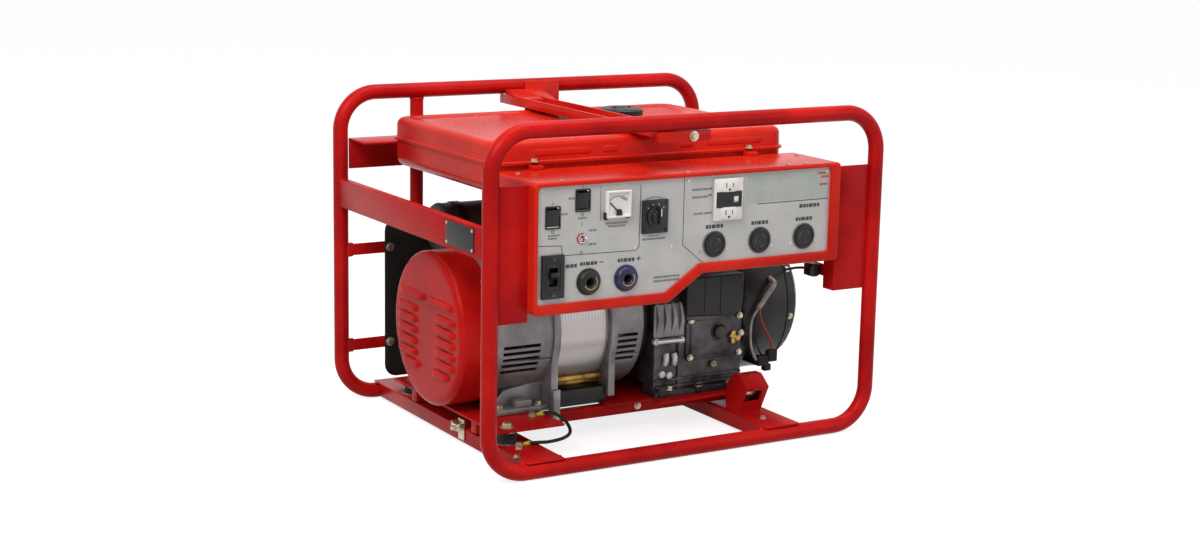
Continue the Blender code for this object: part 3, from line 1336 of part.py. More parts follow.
def engine():
    crankcase()
    crankshaft()
    flywheel()
    fan_housing()
    recoil_cover()
    starter()
    cylinder()
    muffler()
    carburettor()
    choke_lever()
    air_cleaner()
    oil_filler_cap()


# ---------------------------------------------------------------- earthing

STUD_Y = -0.062
STUD_Z = 0.031
STUD_RADIUS = 0.0035
STUD_LENGTH = 0.020
TERMINAL_HALF = 0.010
TERMINAL_THICKNESS = 0.0025
TERMINAL_LOW = 0.010
TERMINAL_HIGH = 0.044
BOND_RADIUS = 0.0028
BOND_ROUTE = (
    (-0.188, -0.134, 0.0575), (-0.170, -0.138, 0.0580), (-0.156, -0.147, 0.0500),
    (-0.151, -0.160, 0.0400), (-0.158, -0.177, 0.0330), (-0.178, -0.191, 0.0305),
    (-0.208, -0.200, 0.0310), (-0.230, -0.200, 0.0325), (-0.247, -0.197, 0.0325),
)


def bond_wire():
    """Earth lead looped from the bed to the cage."""
    curve = bpy.data.curves.new("bond_wire", "CURVE")
    curve.dimensions = "3D"
    curve.bevel_depth = BOND_RADIUS
    curve.bevel_resolution = 2
    curve.use_fill_caps = True
    route = smooth_route(BOND_ROUTE, 4)
    spline = curve.splines.new("POLY")
    spline.points.add(len(route) - 1)
    for point, place in zip(spline.points, route):
        point.co = (*place, 1.0)
    obj = bpy.data.objects.new("bond_wire", curve)
    bpy.context.scene.collection.objects.link(obj)
    return finish(obj, "rubber")


def earth_terminal():
    """Stud plate on the outer face of the left floor member, with its wing nut."""
    face = LEFT_MEMBER_X - MEMBER_WIDTH / 2 - CLEARANCE
    plate = box("earth_terminal", (face - TERMINAL_THICKNESS, STUD_Y - TERMINAL_HALF, TERMINAL_LOW),
                (face, STUD_Y + TERMINAL_HALF, TERMINAL_HIGH), "zinc")
    axis = (0.0, STUD_Y, STUD_Z)
    stud = turned("weld_earth_stud", ((face - STUD_LENGTH, STUD_RADIUS), (face - 0.001, STUD_RADIUS)), "X",
                  axis, steps=12)
    weld(plate, stud)
    left = face - STUD_LENGTH + SHEET
    right = face - TERMINAL_THICKNESS - CLEARANCE
    bore = STUD_RADIUS + CLEARANCE
    outline = [(-0.014, 0.009), (-0.015, 0.002), (-0.006, -0.005), (0.006, -0.005),
               (0.015, 0.002), (0.014, 0.009), (0.006, 0.006), (-0.006, 0.006)]
    nut = prism("earth_wing_nut", [(axis[1] + y, axis[2] + z) for y, z in outline], "X",
                left + 0.004, right, "zinc")
    hole = turned("cut_wing_nut", ((left - 0.01, bore), (right + 0.01, bore)), "X", (0.0, 0.0, 0.0),
                  steps=12)
    pivot = (right, axis[1], axis[2])
    hole.data.transform(Matrix.Translation((-pivot[0], 0.0, 0.0)))
    hole.parent = set_axis(nut, pivot)
    return cut(nut, hole)


def main():
    for obj in list(bpy.data.objects):
        bpy.data.objects.remove(obj, do_unlink=True)
    cage()
    fuel_tank()
    console()
    generator()
    engine()
    bond_wire()
    earth_terminal()


main()
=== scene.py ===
import math

import bmesh
import bpy
from mathutils import Matrix, Vector


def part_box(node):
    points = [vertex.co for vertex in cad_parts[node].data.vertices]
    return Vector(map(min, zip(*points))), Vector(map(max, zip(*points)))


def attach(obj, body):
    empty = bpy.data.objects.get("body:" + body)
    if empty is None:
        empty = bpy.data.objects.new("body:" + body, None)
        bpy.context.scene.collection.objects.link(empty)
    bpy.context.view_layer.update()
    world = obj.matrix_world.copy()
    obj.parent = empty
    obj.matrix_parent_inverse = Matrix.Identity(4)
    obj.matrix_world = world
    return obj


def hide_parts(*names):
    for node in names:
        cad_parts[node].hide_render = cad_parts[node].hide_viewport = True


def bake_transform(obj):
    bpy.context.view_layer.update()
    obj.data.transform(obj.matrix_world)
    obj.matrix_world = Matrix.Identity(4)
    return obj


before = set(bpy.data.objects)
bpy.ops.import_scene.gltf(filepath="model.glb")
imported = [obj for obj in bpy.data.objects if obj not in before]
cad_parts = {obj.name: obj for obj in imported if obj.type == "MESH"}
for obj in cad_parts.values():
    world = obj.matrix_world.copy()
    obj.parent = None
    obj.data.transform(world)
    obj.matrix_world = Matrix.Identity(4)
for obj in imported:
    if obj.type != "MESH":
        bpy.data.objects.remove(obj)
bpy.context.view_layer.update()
print("frame loaded with", len(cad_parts), "nodes")


def linearColour(r, g, b):
    return tuple((c / 255 / 12.92) if c <= 10 else ((c / 255 + 0.055) / 1.055) ** 2.4 for c in (r, g, b)) + (1.0,)


def look(slot, light, dark, patch, rough, grain, bump, metal=0.0, coat=0.0, gloss=0.5, stretch=(1, 1, 1)):
    return {"slot": slot, "light": light, "dark": dark, "patch": patch, "rough": rough, "grain": grain,
            "bump": bump, "metal": metal, "coat": coat, "gloss": gloss, "stretch": stretch}


def setInputs(node, values):
    for socket, value in values.items():
        node.inputs[socket].default_value = value


finishes = {
    "cageRed": look("red_paint", (196, 26, 24), (166, 14, 18), 9, (0.24, 0.36), 420, 0.010, gloss=0.08),
    # the tank's red is a lighter, more orange copy of the frame's red paint: painted light standing in for the warm top
    # light on the tank, tank tabs, console shell and lifting bar
    "paintedLitRed": look("red_paint", (214, 42, 24), (188, 24, 18), 5, (0.20, 0.30), 300, 0.006, coat=0.02, gloss=0.10),
    "drumRed": look("red_paint", (200, 26, 22), (170, 15, 17), 7, (0.22, 0.32), 500, 0.012, gloss=0.08),
    "panelGrey": look("grey_paint", (190, 190, 190), (178, 179, 179), 14, (0.32, 0.42), 900, 0.006, metal=0.1),
    "castAlloy": look("cast_aluminium", (86, 84, 87), (28, 26, 29), 26, (0.36, 0.58), 700, 0.16, metal=0.55),
    "bracketAlloy": look("cast_aluminium", (152, 151, 153), (112, 110, 113), 15, (0.38, 0.54), 800, 0.10, metal=0.45),
    "turnedAlloy": look("bright_aluminium", (206, 205, 206), (176, 176, 178), 10, (0.26, 0.38), 60, 0.008,
                        metal=0.4, stretch=(0.02, 1, 1)),
    "blackPaint": look("black_paint", (26, 25, 25), (12, 12, 12), 16, (0.32, 0.50), 600, 0.04, gloss=0.3),
    "shroudBlack": look("black_paint", (30, 28, 31), (13, 12, 14), 20, (0.30, 0.50), 450, 0.06, gloss=0.3),
    "mufflerGrey": look("black_paint", (74, 78, 74), (40, 42, 40), 18, (0.5, 0.7), 350, 0.12, metal=0.3),
    "blackPlastic": look("black_plastic", (24, 23, 26), (11, 11, 12), 30, (0.30, 0.45), 1500, 0.03, gloss=0.32),
    "navyPlastic": look("blue_black_plastic", (40, 36, 92), (22, 19, 56), 40, (0.28, 0.40), 1500, 0.02, gloss=0.35),
    "whitePlastic": look("white_plastic", (236, 236, 234), (224, 224, 221), 30, (0.22, 0.32), 1200, 0.01),
    "rubber": look("rubber", (30, 30, 30), (15, 15, 15), 60, (0.60, 0.80), 900, 0.10, gloss=0.3),
    "zinc": look("zinc", (206, 200, 182), (156, 146, 116), 90, (0.24, 0.42), 1600, 0.04, metal=0.85),
    "brightSteel": look("steel", (214, 214, 212), (168, 168, 168), 80, (0.18, 0.34), 1400, 0.04, metal=0.9),
    "darkSteel": look("steel", (78, 78, 80), (48, 48, 50), 80, (0.28, 0.44), 1400, 0.04, metal=0.7),
    "goldFoil": look("copper_varnish", (196, 156, 78), (120, 84, 36), 40, (0.28, 0.45), 500, 0.05, metal=0.7),
    "brass": look("copper_varnish", (190, 160, 92), (140, 108, 54), 60, (0.24, 0.40), 1200, 0.05, metal=0.9),
    "copper": look("copper_varnish", (176, 96, 44), (112, 54, 24), 50, (0.30, 0.45), 120, 0.30, metal=0.5,
                   stretch=(1, 0.2, 0.2)),
    "sleeveGrey": look("rubber", (186, 186, 180), (140, 140, 136), 60, (0.5, 0.7), 900, 0.2),
    "wireRed": look("rubber", (186, 34, 28), (140, 20, 18), 60, (0.35, 0.5), 900, 0.05),
    "wireGreen": look("rubber", (206, 206, 60), (132, 156, 44), 120, (0.35, 0.5), 900, 0.05),
    "printInk": look("grey_paint", (50, 50, 54), (38, 38, 42), 60, (0.4, 0.5), 900, 0.01),
    "printGrey": look("grey_paint", (122, 122, 124), (104, 104, 107), 60, (0.4, 0.5), 900, 0.01),
    "blankLabel": look("grey_paint", (172, 178, 174), (160, 167, 163), 24, (0.22, 0.34), 900, 0.01, metal=0.15),
    "paleRed": look("red_paint", (200, 64, 62), (170, 44, 44), 60, (0.3, 0.4), 900, 0.02),
    "oilBrown": look("black_plastic", (58, 48, 32), (28, 24, 17), 70, (0.35, 0.6), 900, 0.1, metal=0.2),
}
materials = {}


def makeFinish(name):
    if name in materials:
        return materials[name]
    want = finishes[name]
    material = bpy.data.materials.new(name)
    material.use_nodes = True
    nodes, links = material.node_tree.nodes, material.node_tree.links
    shader = nodes["Principled BSDF"]
    coords = nodes.new("ShaderNodeTexCoord")
    mapping = nodes.new("ShaderNodeMapping")
    setInputs(mapping, {"Scale": want["stretch"]})
    links.new(coords.outputs["Object"], mapping.inputs["Vector"])
    patches = nodes.new("ShaderNodeTexNoise")  # slow change of shade over the surface
    setInputs(patches, {"Scale": want["patch"], "Detail": 4.0, "Roughness": 0.6})
    grain = nodes.new("ShaderNodeTexNoise")  # fine texture of the finish
    setInputs(grain, {"Scale": want["grain"], "Detail": 3.0})
    for texture in (patches, grain):
        links.new(mapping.outputs["Vector"], texture.inputs["Vector"])
    shades = nodes.new("ShaderNodeValToRGB")
    for stop, position, shade in zip(shades.color_ramp.elements, (0.34, 0.62), ("dark", "light")):
        stop.position, stop.color = position, linearColour(*want[shade])
    links.new(patches.outputs["Fac"], shades.inputs["Fac"])
    links.new(shades.outputs["Color"], shader.inputs["Base Color"])
    roughness = nodes.new("ShaderNodeMapRange")
    setInputs(roughness, {"From Min": 0.3, "From Max": 0.7, "To Min": want["rough"][0], "To Max": want["rough"][1]})
    links.new(grain.outputs["Fac"], roughness.inputs["Value"])
    links.new(roughness.outputs["Result"], shader.inputs["Roughness"])
    bump = nodes.new("ShaderNodeBump")
    setInputs(bump, {"Strength": want["bump"], "Distance": 0.001})
    links.new(grain.outputs["Fac"], bump.inputs["Height"])
    links.new(bump.outputs["Normal"], shader.inputs["Normal"])
    setInputs(shader, {"Metallic": want["metal"], "Coat Weight": want["coat"], "Coat Roughness": 0.12,
                       "Specular IOR Level": want["gloss"]})
    materials[name] = material
    return material


def keep(obj, finish, body="machine", replaces=()):
    obj.data.materials.clear()
    obj.data.materials.append(makeFinish(finish))
    if body:
        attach(obj, body)
    if replaces:
        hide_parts(*replaces)
    return obj


def meshObject(name, bm, smooth=35, bevel=0.0, segments=2, subdivide=0):
    bmesh.ops.remove_doubles(bm, verts=bm.verts, dist=1e-6)
    bmesh.ops.recalc_face_normals(bm, faces=bm.faces)
    mesh = bpy.data.meshes.new(name)
    bm.to_mesh(mesh)
    bm.free()
    obj = bpy.data.objects.new(name, mesh)
    bpy.context.scene.collection.objects.link(obj)
    if bevel:
        rounding = obj.modifiers.new("rounding", "BEVEL")
        rounding.width = bevel
        rounding.segments = segments
        rounding.limit_method = "ANGLE"
        rounding.angle_limit = math.radians(32)
        rounding.harden_normals = False
    if subdivide:
        division = obj.modifiers.new("division", "SUBSURF")
        division.levels = division.render_levels = subdivide
    if smooth:
        settle(obj)
        obj.data.shade_smooth()
        obj.data.set_sharp_from_angle(angle=math.radians(smooth))
    return obj


def settle(obj):
    if not obj.modifiers:
        return obj
    bpy.context.view_layer.update()
    graph = bpy.context.evaluated_depsgraph_get()
    mesh = bpy.data.meshes.new_from_object(obj.evaluated_get(graph))
    obj.modifiers.clear()
    obj.data = mesh
    return obj


def skin(bm, rings, closed=False, capped=True):
    rows = [[bm.verts.new(p) for p in ring] for ring in rings]
    count = len(rows[0])
    pairs = list(zip(rows, rows[1:])) + ([(rows[-1], rows[0])] if closed else [])
    for a, b in pairs:
        for i in range(count):
            j = (i + 1) % count
            bm.faces.new((a[i], a[j], b[j], b[i]))
    if capped and not closed:
        bm.faces.new(rows[0])
        bm.faces.new(rows[-1])
    return bm


def place(axis, a, b, t):
    return {"X": (t, a, b), "Y": (a, t, b), "Z": (a, b, t)}[axis]


def partAlong(axis, point):
    return point["XYZ".index(axis)]


def partAcross(axis, point):
    return [value for name, value in zip("XYZ", point) if name != axis]


def mirrored(side, a, b):
    return sorted((side * a, side * b))


def extrude(bm, outline, axis, start, end):
    return skin(bm, [[place(axis, a, b, t) for a, b in outline] for t in (start, end)])


def block(bm, low, high):
    outline = ((low[0], low[1]), (high[0], low[1]), (high[0], high[1]), (low[0], high[1]))
    return extrude(bm, outline, "Z", low[2], high[2])


def roundOutline(left, right, low, high, radius, steps=6):
    points = []
    for a, b, turn in ((right - radius, high - radius, 0), (left + radius, high - radius, 0.5),
                       (left + radius, low + radius, 1), (right - radius, low + radius, 1.5)):
        for i in range(steps + 1):
            angle = math.pi * (turn + 0.5 * i / steps)
            points.append((a + radius * math.cos(angle), b + radius * math.sin(angle)))
    return points


def centredOutline(x, z, halfWidth, halfHeight, radius):
    return roundOutline(x - halfWidth, x + halfWidth, z - halfHeight, z + halfHeight, radius)


def wind(bm, rings, closed=False, ends=(0, -1)):
    rows = [[bm.verts.new(p) for p in ring] for ring in rings]  # profiles joined all the way round
    count = len(rows[0])
    for a, b in zip(rows, rows[1:] + rows[:1]):
        for j in range(count if closed else count - 1):
            k = (j + 1) % count
            bm.faces.new((a[j], a[k], b[k], b[j]))
    for j in () if closed else ends:
        bm.faces.new([row[j] for row in rows])
    return bm


def lathe(bm, profile, axis, centre, steps=64, closed=False):
    a, b = partAcross(axis, centre)
    rings = []
    for i in range(steps):
        angle = 2 * math.pi * i / steps
        rings.append([place(axis, a + radius * math.cos(angle), b + radius * math.sin(angle), t)
                      for t, radius in profile])
    return wind(bm, rings, closed, [j for j in (0, -1) if profile[j][1] > 1e-5])


def smoothRoute(points, steps=8):
    chosen = [Vector(p) for p in points]
    padded = [chosen[0] * 2 - chosen[1]] + chosen + [chosen[-1] * 2 - chosen[-2]]
    route = []
    for a, b, c, d in zip(padded, padded[1:], padded[2:], padded[3:]):
        for i in range(steps):
            t = i / steps
            route.append(0.5 * (2 * b + (c - a) * t + (2 * a - 5 * b + 4 * c - d) * t ** 2
                                + (3 * b - a - 3 * c + d) * t ** 3))
    return route + [chosen[-1]]


def tube(bm, path, radius, sides=24, closed=False, taper=None):
    points = [Vector(p) for p in path]
    count = len(points)
    side = Vector((0, 1, 0))
    if abs((points[1] - points[0]).normalized().dot(side)) > 0.9:
        side = Vector((0, 0, 1))
    rings = []
    for i, point in enumerate(points):
        before = points[i - 1] if i or closed else point
        after = points[(i + 1) % count] if i < count - 1 or closed else point
        along = (after - before).normalized()
        side = (side - along * side.dot(along)).normalized()
        up = along.cross(side)
        size = radius * (taper(i / (count - 1)) if taper else 1.0)
        rings.append([point + size * (math.cos(2 * math.pi * k / sides) * side
                                      + math.sin(2 * math.pi * k / sides) * up) for k in range(sides)])
    return skin(bm, rings, closed=closed)


def softened(node, finish, bevel=0.0008, body="machine", angle=35, segments=2):
    bm = bmesh.new()  # the CAD shape with its edges rounded
    bm.from_mesh(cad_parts[node].data)
    bmesh.ops.remove_doubles(bm, verts=bm.verts, dist=2e-6)
    bmesh.ops.dissolve_limit(bm, angle_limit=math.radians(1.0), verts=bm.verts, edges=bm.edges)
    obj = meshObject(node + "Skin", bm, smooth=angle, bevel=bevel, segments=segments)
    return keep(obj, finish, body, (node,))


def newTree(name, sockets):
    tree = bpy.data.node_groups.new(name, "GeometryNodeTree")
    tree.interface.new_socket("Geometry", in_out="OUTPUT", socket_type="NodeSocketGeometry")
    tree.interface.new_socket("Geometry", in_out="INPUT", socket_type="NodeSocketGeometry")
    for label, kind, value in sockets:
        socket = tree.interface.new_socket(label, in_out="INPUT", socket_type=kind)
        if value is not None:
            socket.default_value = value
    start = tree.nodes.new("NodeGroupInput")
    end = tree.nodes.new("NodeGroupOutput")
    return tree, start, end


def runTree(name, tree, bm, values, finish, body="machine", replaces=(), smooth=35):
    mesh = bpy.data.meshes.new(name)
    bm.to_mesh(mesh)
    bm.free()
    obj = bpy.data.objects.new(name, mesh)
    bpy.context.scene.collection.objects.link(obj)
    modifier = obj.modifiers.new(tree.name, "NODES")
    modifier.node_group = tree
    wanted = dict(values, Finish=makeFinish(finish))
    for socket in tree.interface.items_tree:
        if socket.in_out == "INPUT" and socket.name in wanted:
            modifier[socket.identifier] = wanted[socket.name]
    settle(obj)
    obj.data.shade_smooth()
    obj.data.set_sharp_from_angle(angle=math.radians(smooth))
    return keep(obj, finish, body, replaces)


def pointCloud(places):
    bm = bmesh.new()  # one loose point per fitting, with the way it faces
    aim = bm.verts.layers.float_vector.new("aim")
    for point, direction in places:
        bm.verts.new(point)[aim] = Vector(direction)
    return bm


def instanceOnPoints(tree, start, shape):
    nodes, links = tree.nodes, tree.links
    aim = nodes.new("GeometryNodeInputNamedAttribute")
    aim.data_type = "FLOAT_VECTOR"
    aim.inputs["Name"].default_value = "aim"
    turn = nodes.new("FunctionNodeAlignRotationToVector")
    turn.axis = "Z"
    links.new(aim.outputs["Attribute"], turn.inputs["Vector"])
    copies = nodes.new("GeometryNodeInstanceOnPoints")
    links.new(start.outputs["Geometry"], copies.inputs["Points"])
    links.new(shape, copies.inputs["Instance"])
    links.new(turn.outputs["Rotation"], copies.inputs["Rotation"])
    return copies.outputs["Instances"]


def finishTree(tree, geometry, start, end):
    real = tree.nodes.new("GeometryNodeRealizeInstances")
    paint = tree.nodes.new("GeometryNodeSetMaterial")
    tree.links.new(geometry, real.inputs["Geometry"])
    tree.links.new(real.outputs["Geometry"], paint.inputs["Geometry"])
    tree.links.new(start.outputs["Finish"], paint.inputs["Material"])
    tree.links.new(paint.outputs["Geometry"], end.inputs["Geometry"])


def cylinderShape(tree, sides, radius, depth, lift):
    nodes, links = tree.nodes, tree.links
    shape = nodes.new("GeometryNodeMeshCylinder")
    shape.inputs["Vertices"].default_value = sides
    for source, socket in ((radius, "Radius"), (depth, "Depth")):
        links.new(source, shape.inputs[socket])
    move = nodes.new("GeometryNodeTransform")
    raised = nodes.new("ShaderNodeCombineXYZ")
    half = nodes.new("ShaderNodeMath")
    half.operation = "MULTIPLY_ADD"
    half.inputs[1].default_value = 0.5
    links.new(depth, half.inputs[0])
    if lift is None:
        half.inputs[2].default_value = 0.0
    else:
        links.new(lift, half.inputs[2])
    links.new(half.outputs[0], raised.inputs["Z"])
    links.new(raised.outputs[0], move.inputs["Translation"])
    links.new(shape.outputs["Mesh"], move.inputs["Geometry"])
    return move.outputs["Geometry"]


def makeBoltTree():
    sizes = (("Head Radius", 0.006), ("Head Height", 0.004), ("Washer Radius", 0.008), ("Washer Height", 0.001))
    sockets = [(label, "NodeSocketFloat", value) for label, value in sizes]
    sockets += [("Sides", "NodeSocketInt", 6), ("Finish", "NodeSocketMaterial", None)]
    tree, start, end = newTree("hexBolts", sockets)
    join = tree.nodes.new("GeometryNodeJoinGeometry")
    washer = cylinderShape(tree, 24, start.outputs["Washer Radius"], start.outputs["Washer Height"], None)
    head = cylinderShape(tree, 6, start.outputs["Head Radius"], start.outputs["Head Height"],
                         start.outputs["Washer Height"])
    headShape = [n for n in tree.nodes if n.bl_idname == "GeometryNodeMeshCylinder"][-1]
    tree.links.new(start.outputs["Sides"], headShape.inputs["Vertices"])
    for part in (washer, head):
        tree.links.new(part, join.inputs["Geometry"])
    finishTree(tree, instanceOnPoints(tree, start, join.outputs["Geometry"]), start, end)
    return tree


boltTree = makeBoltTree()


toFront, toBack, toTop, toLeft, toRight = (0, -1, 0), (0, 1, 0), (0, 0, 1), (-1, 0, 0), (1, 0, 0)


def aimed(points, direction):
    return [(point, direction) for point in points]


fasteners = {  # head radius, head height, washer radius and washer height of each set
    "panelScrews": (0.0021, 0.0009, 0.0026, 0.0003), "breakerScrews": (0.0026, 0.0007, 0.0030, 0.0002),
    "selectorScrews": (0.0020, 0.0006, 0.0024, 0.0002), "receptacleScrews": (0.0018, 0.0007, 0.0023, 0.0002),
    "tankBolts": (0.0052, 0.0040, 0.0072, 0.0010), "drumScrews": (0.0036, 0.0022, 0.0052, 0.0006),
    "bracketFootBolts": (0.0060, 0.0050, 0.0084, 0.0012), "bracketNuts": (0.0048, 0.0042, 0.0062, 0.0010),
    "caseBolts": (0.0042, 0.0036, 0.0054, 0.0006), "footBolts": (0.0062, 0.0050, 0.0088, 0.0014),
    "housingBolts": (0.0035, 0.0030, 0.0042, 0.0006), "recoilBolts": (0.0040, 0.0022, 0.0056, 0.0006),
    "bondBolts": (0.0050, 0.0050, 0.0066, 0.0012), "mountBolts": (0.0078, 0.0062, 0.0115, 0.0016),
    "memberBolts": (0.0045, 0.0034, 0.0062, 0.0008), "railBolts": (0.0048, 0.0036, 0.0064, 0.0010),
    "liftBolts": (0.0055, 0.0040, 0.0080, 0.0012), "shieldBolts": (0.0055, 0.0038, 0.0080, 0.0010),
    "consoleTopScrews": (0.0030, 0.0014, 0.0040, 0.0004), "railPlateRivets": (0.0020, 0.0010, 0.0026, 0.0003),
}


def bolts(name, places, kind=None, sides=6, finish="zinc"):
    head, height, washer, plate = fasteners[kind or name]
    values = {"Head Radius": head, "Head Height": height, "Washer Radius": washer, "Washer Height": plate,
              "Sides": sides}
    return runTree(name, boltTree, pointCloud(places), values, finish)


def piece(name, bm, finish, body="machine", replaces=(), **shape):
    return keep(meshObject(name, bm, **shape), finish, body, replaces)


def paintNode(node, finish):
    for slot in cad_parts[node].material_slots:
        slot.material = makeFinish(finish)


print("tools ready")


studio = {"lens": 59.86, "place": (-1.6907, -2.8266, 0.9107), "yaw": 30.845, "pitch": 11.264, "roll": 1.15,
          "keyPower": 52, "topPower": 40, "sidePower": 9, "worldFill": 0.34, "floorGlow": 0.80, "floorShade": 0.46}


def makeCamera():
    camera = bpy.data.objects.new("camera", bpy.data.cameras.new("camera"))
    camera.data.lens = studio["lens"]
    camera.data.sensor_width = 36
    camera.data.clip_end = 200
    yaw, pitch, roll = (math.radians(studio[k]) for k in ("yaw", "pitch", "roll"))
    forward = Vector((math.sin(yaw) * math.cos(pitch), math.cos(yaw) * math.cos(pitch), -math.sin(pitch)))
    right = Vector((math.cos(yaw), -math.sin(yaw), 0))
    up = right.cross(forward)
    turned = (math.cos(roll) * right + math.sin(roll) * up, -math.sin(roll) * right + math.cos(roll) * up, -forward)
    camera.matrix_world = Matrix.Translation(studio["place"]) @ Matrix(turned).transposed().to_4x4()
    bpy.context.scene.collection.objects.link(camera)
    bpy.context.scene.camera = camera


def areaLight(name, place, target, size, power, colour=(1, 1, 1)):
    light = bpy.data.lights.new(name, "AREA")
    light.shape = "RECTANGLE"
    light.size, light.size_y = size
    light.energy = power
    light.color = colour
    obj = bpy.data.objects.new(name, light)
    obj.location = place
    obj.rotation_euler = (Vector(target) - Vector(place)).to_track_quat("-Z", "Y").to_euler()
    bpy.context.scene.collection.objects.link(obj)


def seenDirectly(nodes, links):
    rays = nodes.new("ShaderNodeLightPath")
    first = nodes.new("ShaderNodeMath")
    second = nodes.new("ShaderNodeMath")
    for node in (first, second):
        node.operation = "MAXIMUM"
    links.new(rays.outputs["Is Camera Ray"], first.inputs[0])
    links.new(rays.outputs["Is Glossy Ray"], first.inputs[1])
    links.new(first.outputs[0], second.inputs[0])
    links.new(rays.outputs["Is Transmission Ray"], second.inputs[1])
    return second.outputs[0]


def makeStudio():
    makeCamera()
    areaLight("keyLight", (-1.9, -1.5, 2.3), (0, 0, 0.25), (1.6, 1.2), studio["keyPower"], (1, 0.95, 0.90))
    areaLight("topLight", (0.2, -0.3, 2.6), (0, 0, 0.3), (2.2, 1.6), studio["topPower"], (1, 0.90, 0.80))
    areaLight("sideLight", (1.9, -2.0, 1.1), (0, 0, 0.25), (1.2, 1.6), studio["sidePower"])
    world = bpy.data.worlds.new("studio")
    bpy.context.scene.world = world
    world.use_nodes = True
    nodes, links = world.node_tree.nodes, world.node_tree.links
    fill = nodes["Background"]
    setInputs(fill, {"Color": (1, 1, 1, 1), "Strength": studio["worldFill"]})
    white = nodes.new("ShaderNodeBackground")
    setInputs(white, {"Color": (1, 1, 1, 1)})
    mix = nodes.new("ShaderNodeMixShader")
    links.new(seenDirectly(nodes, links), mix.inputs["Fac"])
    links.new(fill.outputs[0], mix.inputs[1])
    links.new(white.outputs[0], mix.inputs[2])
    links.new(mix.outputs[0], nodes["World Output"].inputs["Surface"])
    bm = bmesh.new()
    extrude(bm, [(40 * math.cos(math.pi * i / 24), 40 * math.sin(math.pi * i / 24)) for i in range(48)], "Z", -0.05, 0)
    floor = meshObject("floor", bm, smooth=0)
    material = bpy.data.materials.new("paleFloor")
    material.use_nodes = True
    nodes, links = material.node_tree.nodes, material.node_tree.links
    shader = nodes["Principled BSDF"]
    setInputs(shader, {"Base Color": (studio["floorShade"],) * 3 + (1,), "Roughness": 0.9,
                       "Specular IOR Level": 0.1, "Emission Color": (1, 1, 1, 1)})
    strength = nodes.new("ShaderNodeMath")
    strength.operation = "MULTIPLY"
    strength.inputs[1].default_value = studio["floorGlow"]
    links.new(seenDirectly(nodes, links), strength.inputs[0])
    links.new(strength.outputs[0], shader.inputs["Emission Strength"])
    floor.data.materials.append(material)
    bpy.context.scene.view_settings.view_transform = "Standard"


makeStudio()
print("studio ready")


cage = {"tubeRadius": 0.0127, "bend": 0.0635, "bendSteps": 18, "sides": 40, "weld": 0.0026}
hoopX, hoopY, hoopLow, hoopHigh = 0.3548, 0.2738, 0.0127, 0.5349


def makeHoop(node, y):
    bm = bmesh.new()
    outline = roundOutline(-hoopX, hoopX, hoopLow, hoopHigh, cage["bend"], cage["bendSteps"])
    tube(bm, [(x, y, z) for x, z in outline], cage["tubeRadius"], cage["sides"], closed=True)
    piece(node + "Tube", bm, "cageRed", replaces=(node,), smooth=60)


def weldRing(bm, centre, axis, radius):
    points = []  # small lumps, as a weld bead has
    a, b = partAcross(axis, centre)
    for i in range(72):
        angle = 2 * math.pi * i / 72
        away = radius + 0.0004 * math.sin(i * 1.35)
        points.append(place(axis, a + away * math.cos(angle), b + away * math.sin(angle), partAlong(axis, centre)))
    tube(bm, points, cage["weld"], 8, closed=True)


def weldLine(bm, a, b):
    a, b = Vector(a), Vector(b)
    count = max(4, int((b - a).length / 0.0018))
    tube(bm, [a.lerp(b, i / count) for i in range(count + 1)], cage["weld"], 8,
         taper=lambda t: 0.55 + 0.45 * abs(math.sin(t * count * 1.2)) if 0.02 < t < 0.98 else 0.3)


def makeCage():
    makeHoop("front_hoop", -hoopY)
    makeHoop("back_hoop", hoopY)
    low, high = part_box("back_post")
    bm = tube(bmesh.new(), [((low.x + high.x) / 2, (low.y + high.y) / 2, z) for z in (low.z, high.z)],
              (high.x - low.x) / 2, 36)
    piece("backPostTube", bm, "cageRed", replaces=("back_post",))
    for node in ("left_mid_rail", "back_upper_rail", "shield_arm_upper", "shield_arm_lower"):
        softened(node, "cageRed", 0.0010)
    for node in ("left_cross_member", "right_cross_member"):
        softened(node, "cageRed", 0.0014)
    softened("bed_frame", "cageRed", 0.0012)
    softened("lifting_bar", "paintedLitRed", 0.0014)
    softened("heat_shield", "blackPaint", 0.0007)
    bm = bmesh.new()
    postX = (low.x + high.x) / 2
    weldRing(bm, (postX, hoopY, low.z + 0.001), "Z", 0.0098)
    weldRing(bm, (postX, hoopY, high.z - 0.001), "Z", 0.0098)
    for node, y in (("left_mid_rail", -0.2605), ("left_mid_rail", 0.2605)):
        a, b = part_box(node)
        for z in (a.z + 0.001, b.z - 0.001):
            weldLine(bm, (a.x + 0.003, y, z), (b.x - 0.001, y, z))
        weldLine(bm, (a.x + 0.0045, y, a.z), (a.x + 0.0045, y, b.z))
    for node in ("shield_arm_upper", "shield_arm_lower"):
        a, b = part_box(node)
        for z in (a.z, b.z):
            weldLine(bm, (a.x - 0.001, a.y + 0.002, z), (a.x + 0.009, a.y + 0.002, z))
    for node in ("left_cross_member", "right_cross_member"):
        a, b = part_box(node)
        for y in (-0.2825, 0.2825):
            weldLine(bm, (a.x, y * 0.999, 0.0215), (a.x, y * 0.925, 0.0275))
            weldLine(bm, (b.x, y * 0.999, 0.0215), (b.x, y * 0.925, 0.0275))
    piece("cageWelds", bm, "cageRed", smooth=70)


mountNodes = ("mount_left_front", "mount_left_rear", "mount_right_front", "mount_right_rear")
mounts = {"waist": 0.0022, "plate": 0.0016, "stud": 0.0055}


